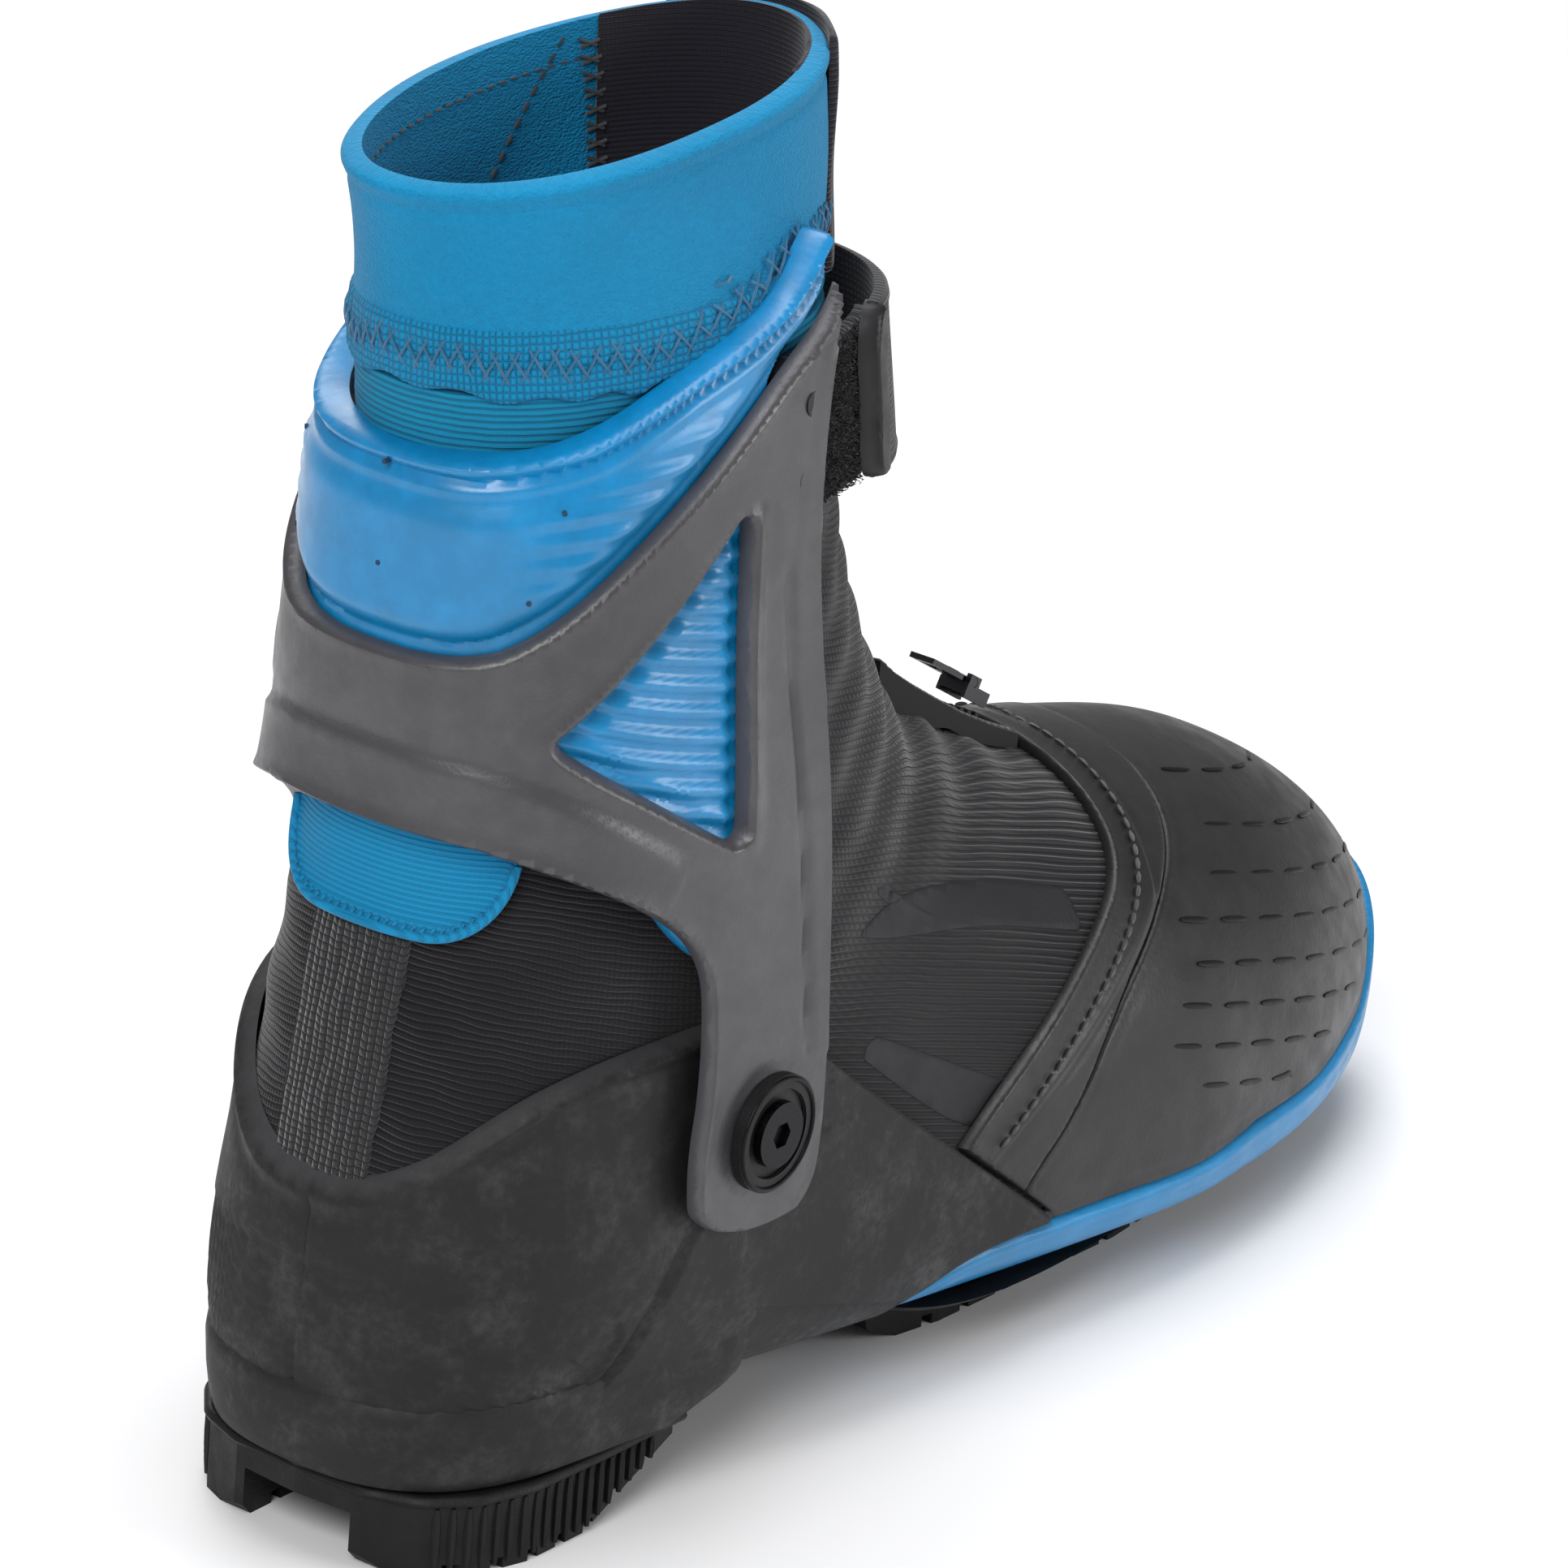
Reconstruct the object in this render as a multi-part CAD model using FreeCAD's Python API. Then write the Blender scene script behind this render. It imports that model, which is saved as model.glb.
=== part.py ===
import FreeCAD, Part
import math
import os

# Cross country boot, right foot. Millimetres, +Z up, +X to the toe, +Y to the
# inner side of the foot. Section tables are drawn with x from the heel and z
# from the ground, then stretched by the three overall sizes below.

V = FreeCAD.Vector

# ---- overall sizes
LENGTH = 297.0            # heel of the chassis to the front of the rand
HEIGHT = 238.0            # ground to the front of the collar rim
WIDTH = 91.0              # over the ball of the foot
KX, KY, KZ = LENGTH / 297.0, WIDTH / 91.0, HEIGHT / 238.0
MID_X = 150.6 * KX        # row origin below the middle of the boot's box
MID_Y = -1.0 * KY

# ---- layer thicknesses and clearances
GAP = 0.3
UPPER_T = 2.0
LINER_T = 2.2
CHASSIS_T = 2.8
RAND_T = 2.3
CAP_T = 1.4
COLLAR_T = 2.8
CUFF_T = 3.0
PAD_T = 3.5
BOARD_T = 1.6
FOOTBED_T = 4.0
SHANK_T = 1.15

# ---- ankle pivot
PIVOT_X, PIVOT_Z = 67.0 * KX, 69.0 * KZ
ARM_Y = 45.0 * KY         # outer face of the cuff arms
BOSS_R, BOSS_Y = 11.0, (36.2 * KY, 41.4 * KY)
BUSH_R, BUSH_CLEAR = 6.0, 0.05
SCREW_R, SCREW_CLEAR = 2.5, 0.05
HEAD_R, HEAD_T, SOCKET_AF = 5.6, 1.5, 4.0
CAP_R, CAP_PLATE_T = 10.0, 1.7
NUT_FLANGE_R, NUT_FLANGE_T, NUT_BARREL_R = 8.0, 1.2, 4.0
ROOT_DISC_R = 23.0        # the foot part keeps this disc round the pivot
FLEX_FRONT = (40.0, 58.0) # degrees above +X, soft zone in front of the ankle
FLEX_REAR = (127.0, 133.0)
FLEX_SPLIT = 0.35         # degrees left open at each edge of a soft zone
TAB_FROM = 138.0          # the heel tab stays behind this angle, clear of the cuff

# ---- sole
TOE_Y = 3.0 * KY
BAR_R, BAR_LEN, BAR_X, BAR_Z = 2.0, 26.0, 280.5 * KX, 6.6 * KZ
BAR_CLEAR = 0.03
BLOCK_X0, BLOCK_X1, BLOCK_HALF, BLOCK_LOW = 269.0 * KX, 290.0 * KX, 15.0, 3.4 * KZ
NOTCH_HALF, NOTCH_REACH, NOTCH_OVER = 9.0, 6.5, 3.0   # room for the binding's jaw
FORE_SIDE = [(128, 20), (133, 3), (140, 0), (258, 0), (280, 2.5), (292, 4), (294, 20)]
FORE_PLAN = [(128, -22), (150, -26), (200, -28), (240, -25), (272, -17), (291, -9), (294, 8),
             (284, 21), (262, 29), (230, 31), (190, 28), (150, 24), (128, 20)]
FORE_EDGE = [(119.2, -6), (119.2, 12.6), (123, 12.6), (150, 11.7), (280, 11.3), (290, 7.7),
             (306, 4.3), (306, -6)]
FORE_TREAD = (146.0, 256.0)
GUIDE_Y, GUIDE_W, GUIDE_D = 15.0, 6.5, 3.5
TREAD_W, TREAD_D, TREAD_PITCH = 2.4, 2.0, 10.0
LUG_GAP, LUG_DEPTH = 11.0, 9.0 * KZ
SEAT_Z, SEAT_TOP = 14.5 * KZ, 26.0 * KZ   # moulded base under the heel cup
SEAT_RIM = 2.0            # how far the base stands out round the rubber
HEEL_PLAN = [(8, 0), (9, 13), (13, 22), (20, 28), (30, 31), (76, 32)]
HEEL_FROM, HEEL_TO, HEEL_RISE = 44.0, 66.0, 10.5   # slope up to the arch
HEEL_TREAD_FROM, HEEL_TREAD_PITCH, HEEL_TREAD_IN = 16.0, 7.0, 3.0

# ---- zip
ZIP_TOP = (147.0 * KX, 117.6 * KZ)
ZIP_LOW = (191.0 * KX, 92.4 * KZ)
ZIP_Y = 5.0 * KY
ZIP_HALF = 9.0
TOOTH = (1.2, 1.5, 1.0)
TOOTH_FROM, TOOTH_TO = 2.0, 3.0   # bare ends of the zip
TOOTH_PITCH, TOOTH_LIFT, TOOTH_LAP = 2.8, 0.14, 0.2
SLIDER = (8.0, 6.0, 2.6)
SLIDER_AT, SLIDER_LIFT = 3.0, 0.9
PULL_LEN, PULL_W, PULL_T = 15.0, 5.0, 1.0
RING_R = 0.8
EAR_Y, EAR_T = 2.45, 1.0

# ---- strap
STRAP_Z = (168.0 * KZ, 197.0 * KZ)
STRAP_T, STRAP_IN, WEB_T = 1.8, -2.0, 1.7
RIVET_R, RIVET_Y = 2.2, 28.8 * KY
ROLL_R = 1.1              # the strap's rolled inner end, on its hinge line
ROLL_LOW = V(98.4 * KX, 32.32 * KY, 168.0 * KZ)
ROLL_TOP = V(98.4 * KX, 28.97 * KY, 197.0 * KZ)

os.makedirs("parts", exist_ok=True)

# Foot sections, a fan from the toe to the rim: top point x z, bottom point x z,
# outer and inner half width, sideways lean of the top, place of the widest
# line, exponents of the upper and lower halves.
BODY = [
    (295, 34, 295, 14, -9, 16, 5, .60, 2.2, 2.6),
    (290, 48, 291, 12, -16, 26, 6, .64, 2.1, 3.0),
    (279, 59, 280, 11, -24, 34, 7, .66, 2.0, 3.4),
    (262, 69, 263, 10, -33, 40, 8, .70, 1.95, 3.8),
    (240, 77.5, 241, 10, -40.5, 43, 8, .72, 1.9, 4.0),
    (215, 84, 216, 10, -44.5, 45, 8, .73, 1.9, 4.0),
    (190, 90, 190, 11, -46, 44, 7, .74, 1.9, 4.0),
    (166, 100.5, 125, 13, -41, 39, 5, .72, 1.85, 3.6),
    (148, 113.5, 50, 17, -37.5, 37.5, 3, .62, 1.85, 3.0),
    (137, 130, 11, 22, -37, 37, 2, .52, 1.85, 2.7),
    (127, 147, 9, 57, -35, 35, 1, .48, 1.8, 2.5),
    (121, 162, 14, 92, -33, 33, 0, .48, 1.8, 2.4),
    (117, 176, 20, 127, -30, 30, 0, .50, 1.9, 2.3),
    (114, 190, 21, 162, -28, 28, 0, .50, 2.0, 2.2),
    (112, 207, 17, 198, -26.8, 26.5, 0, .50, 2.0, 2.2),
    (111, 223, 14, 217, -26.5, 25.5, 0, .50, 2.0, 2.2),
    (109, 238, 10.5, 229, -27, 25, 0, .50, 2.0, 2.2),
    (108, 252, 8, 243, -27, 25, 0, .50, 2.0, 2.2),
]
# Cuff ovals: z, rear x, front x, half width, exponent.
CUFF = [
    (45, 2, 130, 45, 2.6), (75, 2, 138, 45, 2.6), (100, 8, 136, 43.5, 2.5),
    (125, 13, 132, 41, 2.5), (150, 13, 128, 38, 2.5), (175, 13.5, 124, 36, 2.5),
    (200, 13, 121, 34, 2.4), (225, 12, 119, 33, 2.4),
]
TOE_PUSH = (1.0, .8, .5, .25)   # how far the toe sections follow an offset
PTS = 28


def spow(v, e):
    return math.copysign(abs(v) ** e, v)


def smooth_ring(pts, knots):
    curve = Part.BSplineCurve()
    curve.interpolate(Points=pts, PeriodicFlag=True, Parameters=knots)
    return Part.Wire([curve.toShape()])


def shared_knots(rings):
    """Mean spacing of the points, so that every section shares its knots."""
    total = [0.0] * PTS
    for pts in rings:
        steps = [(pts[(k + 1) % PTS] - pts[k]).Length for k in range(PTS)]
        total = [t + s / sum(steps) for t, s in zip(total, steps)]
    knots = [0.0]
    for t in total:
        knots.append(knots[-1] + t / len(rings))
    return knots


def body_pts(i, off):
    xt, zt, xb, zb, yl, ym, yt, aw, nt, nb = BODY[i]
    push = TOE_PUSH[i] * off if i < len(TOE_PUSH) else 0.0
    xt, xb = xt * KX + push, xb * KX + push
    zt, zb, yl, ym, yt = zt * KZ, zb * KZ, yl * KY, ym * KY, yt * KY
    ln = math.hypot(xb - xt, zb - zt)
    ex, ez = (xb - xt) / ln, (zb - zt) / ln
    pts = []
    for k in range(PTS):
        phi = 2 * math.pi * k / PTS
        c, s = math.cos(phi), math.sin(phi)
        n = nt if c > 0 else nb
        half = (aw if c > 0 else 1 - aw) * ln + off
        a = aw * ln - spow(c, 2 / n) * half
        w = (-yl if s > 0 else ym) + off
        frac = abs(s) ** (2 / n)
        lean = yt * abs(c) ** 1.5 * (1 - frac) if c > 0 else 0.0
        y = (-frac if s > 0 else frac) * w + lean
        pts.append(V(xt + a * ex, y, zt + a * ez))
    return pts


def cuff_pts(i, off):
    z, xb, xf, w, n = CUFF[i]
    xc, a, w = (xb + xf) / 2 * KX, (xf - xb) / 2 * KX + off, w * KY + off
    pts = []
    for k in range(PTS):
        th = 2 * math.pi * k / PTS
        pts.append(V(xc - a * spow(math.cos(th), 2 / n), -w * spow(math.sin(th), 2 / n), z * KZ))
    return pts


BODY_KNOTS = shared_knots([body_pts(i, 0.0) for i in range(len(BODY))])
CUFF_KNOTS = shared_knots([cuff_pts(i, 0.0) for i in range(len(CUFF))])
cache = {}


def body(off):
    if ("b", off) not in cache:
        rings = [smooth_ring(body_pts(i, off), BODY_KNOTS) for i in range(len(BODY))]
        cache["b", off] = Part.makeLoft(rings, True, False)
    return cache["b", off]


def cuff(off):
    if ("c", off) not in cache:
        rings = [smooth_ring(cuff_pts(i, off), CUFF_KNOTS) for i in range(len(CUFF))]
        cache["c", off] = Part.makeLoft(rings, True, False)
    return cache["c", off]


def slab(pts, y0=-90.0, y1=90.0):
    """Prism across the boot from an outline in the drawn x, z coordinates."""
    ring = [V(x * KX, y0, z * KZ) for x, z in pts]
    return Part.Face(Part.makePolygon(ring + [ring[0]])).extrude(V(0, y1 - y0, 0))


def raw_slab(pts, y0, y1):
    ring = [V(x, y0, z) for x, z in pts]
    return Part.Face(Part.makePolygon(ring + [ring[0]])).extrude(V(0, y1 - y0, 0))


def box(x0, x1, y0, y1, z0, z1):
    return Part.makeBox(x1 - x0, y1 - y0, z1 - z0, V(x0, y0, z0))


def skin(inner, outer, pts, y0=-90.0, y1=90.0):
    return body(outer).common(slab(pts, y0, y1)).cut(body(inner))


def cuff_skin(inner, outer, pts, y0=-90.0, y1=90.0):
    return cuff(outer).common(slab(pts, y0, y1)).cut(cuff(inner))


def sector(a0, a1, radius=260.0):
    pts = [(PIVOT_X, PIVOT_Z)]
    steps = max(2, int(abs(a1 - a0) / 30) + 1)
    for k in range(steps + 1):
        a = math.radians(a0 + (a1 - a0) * k / steps)
        pts.append((PIVOT_X + radius * math.cos(a), PIVOT_Z + radius * math.sin(a)))
    return raw_slab(pts, -90, 90)


def rod(r, y0, y1, x=PIVOT_X, z=PIVOT_Z):
    return Part.makeCylinder(r, y1 - y0, V(x, y0, z), V(0, 1, 0))


def both_sides(make):
    return Part.makeCompound([make(-1), make(1)])


def side_rod(side, r, d0, d1, x=PIVOT_X, z=PIVOT_Z):
    return rod(r, -d1, -d0, x, z) if side < 0 else rod(r, d0, d1, x, z)


def solids_of(shape):
    return [s for s in shape.Solids if s.Volume > 0.5]


def largest(shape):
    return max(shape.Solids, key=lambda s: s.Volume)


def save(name, shape):
    keep = solids_of(shape)
    out = keep[0] if len(keep) == 1 else Part.makeCompound(keep)
    out = out.copy()
    out.translate(V(-MID_X, -MID_Y, 0))
    out.exportStep("parts/%s.step" % name)
    print(name, len(keep), "valid" if out.isValid() else "NOT VALID", round(out.Volume / 1000.0, 2))


FAR = 320                 # drawn x beyond the toe
RIM_LINE = [(-12, 227.2), (8, 229), (109, 238), (130, 239.9)]


def below_rim(shape):
    return shape.common(slab([(-12, -10)] + RIM_LINE + [(FAR, 240), (FAR, -10)]))


# ---- chassis outline, side view
CHASSIS = [(-8, 59), (3, 59), (8, 64), (14, 71.5), (24, 81), (36, 85.5), (50, 87), (64, 87),
           (76, 83.5), (86, 76), (120, 50), (155, 24.8), (133, 24.8), (123, 20.8),
           (118.5, 19), (118.5, -5), (-8, -5)]
CHASSIS_GROWN = [(-8, 59.4), (3, 59.4), (8, 64.4), (14, 72), (24, 81.5), (36, 86), (50, 87.5),
                 (64, 87.5), (76.3, 84), (86.4, 76.4), (120.4, 50.4), (156, 24.6), (133, 24.4),
                 (118.9, 19), (118.9, -5), (-8, -5)]
RAND_TOP = [(119.2, 16), (120, 18.5), (123.2, 20.4), (133, 24.4), (156, 24.0), (194, 22.5),
            (214, 24), (240, 23), (268, 25), (280, 30), (288, 37), (293, 43), (306, 48)]
RAND_LOW = [(306, 4.6), (290, 8), (280, 11.6), (150, 12), (123, 13), (119.2, 16)]
BAND_REAR = [(112, 28), (129, 45.6), (153, 58), (171, 68), (186, 75.5), (193, 84.5), (195, 100)]
BAND_FRONT = [(219, 100), (216, 80), (208, 74), (190, 67), (172, 57), (158, 42), (146, 33),
              (136, 20)]


def chassis():
    cup = skin(0.4, 0.4 + CHASSIS_T, CHASSIS)
    for side in (-1, 1):
        cup = cup.fuse(side_rod(side, BOSS_R, BOSS_Y[0], BOSS_Y[1]))
        cup = cup.cut(side_rod(side, NUT_BARREL_R + SCREW_CLEAR, 30 * KY, 50 * KY))
    return cup.fuse(heel_seat()).removeSplitter()


def plan_prism(points, height):
    ring = [V(x * KX, y * KY, -1) for x, y in points]
    return Part.Face(Part.makePolygon(ring + [ring[0]])).extrude(V(0, 0, height))


def heel_prism(grow):
    """Upright prism over the plan of the heel, grown to the rear and the sides."""
    half = [(x - grow, y + grow if y else 0.0) for x, y in HEEL_PLAN]
    return plan_prism(half + [(x, -y) for x, y in reversed(half[1:])], 40)


def heel_seat():
    """Base of the chassis, between the heel rubber and the cup."""
    low, high = SEAT_Z / KZ, SEAT_TOP / KZ
    side = slab([(-8, low), (60, low), (74, low + 5), (74, high), (-8, high)])
    return side.common(heel_prism(SEAT_RIM)).cut(body(0.4 + CHASSIS_T / 2))


def rand_room():
    """Everything the rand fills, with a little room round it."""
    low = [(x, z - GAP + 0.05) for x, z in RAND_LOW[:-1]]
    return skin(0.0, GAP + RAND_T + GAP, RAND_TOP + low)


def heel_sole():
    top = SEAT_Z / KZ - GAP
    side = slab([(8, top), (8, 3), (11, 0), (HEEL_FROM, 0), (HEEL_TO, HEEL_RISE), (HEEL_TO, top)])
    sole = side.common(heel_prism(0.0))
    sole = sole.cut(box(-5, 58 * KX, -LUG_GAP, LUG_GAP, -1, LUG_DEPTH))
    x = HEEL_TREAD_FROM
    while x < 60:
        low = max(0.0, (x - HEEL_FROM) * HEEL_RISE / (HEEL_TO - HEEL_FROM))
        sole = sole.cut(box(x * KX, x * KX + TREAD_W, -40, 40, low - HEEL_TREAD_IN, low + TREAD_D))
        x += HEEL_TREAD_PITCH
    return sole.cut(body(0.4 + CHASSIS_T + GAP))


def fore_sole():
    sole = slab(FORE_SIDE).common(plan_prism(FORE_PLAN, 30))
    sole = sole.fuse(skin(GAP, GAP + RAND_T, FORE_EDGE))
    for y in (-GUIDE_Y, GUIDE_Y):
        sole = sole.cut(box(120 * KX, 262 * KX, y - GUIDE_W / 2, y + GUIDE_W / 2, -1, GUIDE_D))
    x = FORE_TREAD[0]
    while x < FORE_TREAD[1]:
        sole = sole.cut(box(x * KX, x * KX + TREAD_W, -40, 40, -1, TREAD_D))
        x += TREAD_PITCH
    sole = sole.cut(box(BLOCK_X0 - GAP, BLOCK_X1 + GAP, TOE_Y - BLOCK_HALF - GAP,
                        TOE_Y + BLOCK_HALF + GAP, -1, 30))
    return largest(sole.cut(body(GAP)).cut(rand_room()))


def toe_block():
    block = box(BLOCK_X0, BLOCK_X1, TOE_Y - BLOCK_HALF, TOE_Y + BLOCK_HALF, BLOCK_LOW, 30)
    block = block.cut(body(GAP))
    block = block.cut(box(BAR_X - NOTCH_REACH, BAR_X + NOTCH_REACH, TOE_Y - NOTCH_HALF,
                          TOE_Y + NOTCH_HALF, -1, BAR_Z + NOTCH_OVER))
    block = block.cut(rand_room())
    seat_end = TOE_Y + BAR_LEN / 2 + 0.2
    return block.cut(rod(BAR_R + BAR_CLEAR, TOE_Y - 20, seat_end, BAR_X, BAR_Z))


def floor_z(x):
    """Height of the room's floor over the middle line, in drawn coordinates."""
    line = Part.makeLine(V(x * KX, 0, -20), V(x * KX, 0, 60))
    return min(v.Z for v in room.common(line).Vertexes) / KZ


FLOOR_X = (5, 12, 20, 30, 40, 50, 65, 80, 100, 125, 150, 175, 200, 215, 240, 262, 275, 285, 289.5)


def floor_band(lo, hi, first, last):
    """Prism between two heights above the room's floor."""
    line = [(x, floor_z(x)) for x in FLOOR_X if floor_inside(x)]
    line = [(line[0][0] - 15, line[0][1])] + line + [(line[-1][0] + 15, line[-1][1])]
    strip = slab([(x, z + lo / KZ) for x, z in line] + [(x, z + hi / KZ) for x, z in line[::-1]])
    return strip.common(box(first * KX, last * KX, -90, 90, -10, 100))


def floor_inside(x):
    line = Part.makeLine(V(x * KX, 0, -20), V(x * KX, 0, 60))
    return len(room.common(line).Vertexes) > 0


def pockets(shape):
    for side in (-1, 1):
        shape = shape.cut(side_rod(side, BOSS_R + 1.5, 34.3 * KY, 60 * KY))
    return shape


disc = rod(ROOT_DISC_R, -90, 90)
disc_clear = rod(ROOT_DISC_R + 1.0, -90, 90)
moving_zone = sector(FLEX_FRONT[0], FLEX_REAR[1]).cut(disc)
shaft_zone = sector(FLEX_FRONT[1], FLEX_REAR[0]).cut(disc_clear)
flex_zone = sector(FLEX_FRONT[0] + FLEX_SPLIT, FLEX_FRONT[1] - FLEX_SPLIT).fuse(
    sector(FLEX_REAR[0] + FLEX_SPLIT, FLEX_REAR[1] - FLEX_SPLIT)).cut(disc_clear)


def fabric(inner, outer, top):
    """One cloth layer split into foot, soft ankle and shaft pieces."""
    whole = below_rim(body(outer).cut(body(inner)))
    foot = pockets(whole.cut(moving_zone))
    flex = whole.common(flex_zone)
    shaft = whole.common(shaft_zone).common(slab(top))
    return foot, flex, shaft


SHAFT_TOP = [(-12, 60), (-12, 168), (60, 171), (130, 176), (FAR, 176), (FAR, 60)]
foot, flex, shaft = fabric(-UPPER_T, 0.0, SHAFT_TOP)
save("upper_foot", foot)
save("ankle_flex_fabric", flex)
save("upper_shaft", shaft)
lin = -UPPER_T - GAP
foot, flex, shaft = fabric(lin - LINER_T, lin, SHAFT_TOP)
save("liner_foot", foot)
save("ankle_flex_liner", flex)
save("liner_shaft", shaft)

save("heel_chassis", chassis())
save("outsole_heel", heel_sole())
save("outsole_forefoot", fore_sole())
rand = skin(GAP, GAP + RAND_T, RAND_TOP + RAND_LOW[:-1])
save("toe_rand", rand)
save("toe_bar_block", toe_block())
save("toe_bar", rod(BAR_R, TOE_Y - BAR_LEN / 2, TOE_Y + BAR_LEN / 2, BAR_X, BAR_Z))

# ---- toe cap and its band
above_rand = slab([(x, z + 0.35) for x, z in RAND_TOP[1:]] + [(FAR, 120), (100, 120), (100, 20)])
wing = slab(CHASSIS_GROWN)
cap_zone = BAND_FRONT[::-1] + [(219, 120), (FAR, 120), (FAR, 0), (136, 0)]
cap_zone = [(x + 0.35, z) for x, z in cap_zone]
cap = skin(GAP, GAP + CAP_T, cap_zone).common(above_rand).cut(wing)
save("toe_cap", cap)
band = skin(GAP, GAP + CAP_T + 0.3, BAND_REAR + BAND_FRONT).common(above_rand).cut(wing)
save("toe_cap_band", band)

# ---- inside the foot
deep = lin - LINER_T - 0.4
room = body(deep)
save("shank_plate", largest(room.common(floor_band(0.15, 0.15 + SHANK_T, 45, 205)).common(
    box(0, 400, -20 * KY, 20 * KY, -5, 60))))
save("insole_board", largest(room.common(floor_band(1.6, 1.6 + BOARD_T, 6, 299))))
save("footbed", largest(room.common(floor_band(3.5, 3.5 + FOOTBED_T, 6, 299))))
save("toe_puff", skin(deep - 1.2, deep, [(250, 25.5), (252, 110), (310, 110), (310, 25.5)]))
tongue = room.common(slab([(116, 96), (140, 123), (160, 118), (205, 96), (205, 74), (150, 80)],
                          -18 * KY, 24 * KY))
save("tongue", tongue.cut(body(deep - 1.8)))
pads = skin(deep - 1.8, deep, [(14, 48), (45, 48), (57, 58), (40, 80), (28, 92), (14, 84)])
save("heel_pads", pads.cut(box(-10, 80, -9, 9, 20, 120)))

# ---- heel strip and pull tab
strip = skin(GAP, GAP + 1.0, [(-8, 58), (60, 58), (60, 104), (-8, 104)], -15 * KY, 15 * KY)
save("heel_strip", strip.cut(wing).common(box(-20, 60 * KX, -90, 90, 0, 300)))
tab = skin(GAP, GAP + 1.9, [(-8, 104.4), (34, 104.4), (38, 108), (38, 117.6), (-8, 117.6)])
save("heel_tab", largest(tab.common(sector(TAB_FROM, 200.0))))

# ---- pivot hardware

def nut(side):
    s = side_rod(side, NUT_FLANGE_R, 34.7 * KY, 34.7 * KY + NUT_FLANGE_T)
    s = s.fuse(side_rod(side, NUT_BARREL_R, 34.7 * KY, 41.0 * KY)).removeSplitter()
    return s.cut(side_rod(side, SCREW_R + SCREW_CLEAR, 30, 60))


def bushing(side):
    s = side_rod(side, BUSH_R, 41.7 * KY, ARM_Y + 0.1)
    return s.cut(side_rod(side, SCREW_R + SCREW_CLEAR, 30, 60))


def cap_plate(side):
    y0 = ARM_Y + 0.25
    s = side_rod(side, CAP_R, y0, y0 + CAP_PLATE_T)
    s = s.cut(side_rod(side, CAP_R - 2.4, y0 + CAP_PLATE_T - 0.7, y0 + 5))
    return s.cut(side_rod(side, SCREW_R + SCREW_CLEAR, 30, 60))


def screw(side):
    y0 = ARM_Y + 0.25 + CAP_PLATE_T - 0.7 + 0.05
    s = side_rod(side, SCREW_R, 36.0 * KY, y0 + 0.1).fuse(
        side_rod(side, HEAD_R, y0, y0 + HEAD_T)).removeSplitter()
    hexa = [V(PIVOT_X + SOCKET_AF / 1.732 * math.cos(math.radians(60 * k)), 0,
              PIVOT_Z + SOCKET_AF / 1.732 * math.sin(math.radians(60 * k))) for k in range(6)]
    tool = Part.Face(Part.makePolygon(hexa + [hexa[0]])).extrude(V(0, 4, 0))
    tool.translate(V(0, y0 + HEAD_T - 1.2 if side > 0 else -(y0 + HEAD_T - 1.2) - 4, 0))
    return s.cut(tool)


save("pivot_nuts", both_sides(nut))
save("pivot_bushings", both_sides(bushing))
save("pivot_caps", both_sides(cap_plate))
save("pivot_screws", both_sides(screw))

# ---- cuff shell
CUFF_SIDE = [(-12, 125), (14, 125), (21, 122), (32, 116.5), (40, 111.5), (47, 106), (51, 100),
             (52, 94), (51.5, 80), (49.5, 68), (50.5, 58), (56, 53.5), (66, 51), (77, 51),
             (81.5, 55), (83, 62), (83, 94), (82, 142), (79.5, 170), (83, 190), (90.5, 207.5),
             (88.5, 203), (83, 198.5), (74, 194.4), (62.4, 187), (48, 178), (36, 169.5),
             (24.5, 160), (14.6, 152.6), (-12, 151.5)]
WINDOW = [(25, 141), (30, 136.5), (57.5, 119.5), (60, 121), (62, 171), (60, 172.5), (57, 170)]
STEP_ZONE = [(-12, 125.2), (14, 125.2), (21, 122.3), (40, 112.2), (46, 119), (30, 131), (14, 139),
             (-12, 139)]
WINDOW_BEAD = [(60.2, 119.5), (63.6, 119), (65.4, 172.5), (62.2, 172.5)]
GROOVE = [(76.2, 82), (77.6, 82), (72.2, 161), (70.8, 161)]
STEP_T, BEAD_T, GROOVE_D = 0.8, 0.9, 0.8
shell = cuff(0.0).common(slab(CUFF_SIDE))
shell = shell.fuse(cuff(STEP_T).common(slab(STEP_ZONE)))
shell = shell.cut(slab(WINDOW))
shell = shell.fuse(cuff(BEAD_T).common(slab(WINDOW_BEAD)))
shell = shell.cut(cuff(-CUFF_T))
shell = shell.cut(cuff_skin(-GROOVE_D, 2.0, GROOVE))
for side in (-1, 1):
    shell = shell.cut(side_rod(side, BUSH_R + BUSH_CLEAR, 30, 60))
    shell = shell.cut(side_rod(side, CAP_R + 0.6, ARM_Y + 0.05, 60))
RIVETS = [(76.0 * KX, 175.0 * KZ), (77.5 * KX, 187.0 * KZ)]
for x, z in RIVETS:
    shell = shell.cut(rod(RIVET_R + 0.05, -60, 60, x, z))
save("cuff_shell", shell)

# ---- cuff pad
PAD_SIDE = [(-12, 183.5), (15.5, 185.5), (30, 189), (49, 196.5), (65, 200.6), (75, 204.2),
            (85.5, 213), (88, 211.5), (84, 203.5), (70, 191.5), (68, 170), (66, 108), (61, 103),
            (54, 99), (47, 104), (40, 109.2), (30, 115), (21, 119.2), (-12, 121.5)]
pad = cuff_skin(-CUFF_T - GAP - PAD_T, -CUFF_T - GAP, PAD_SIDE)
save("cuff_pad", largest(pad.cut(body(GAP))))

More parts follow.
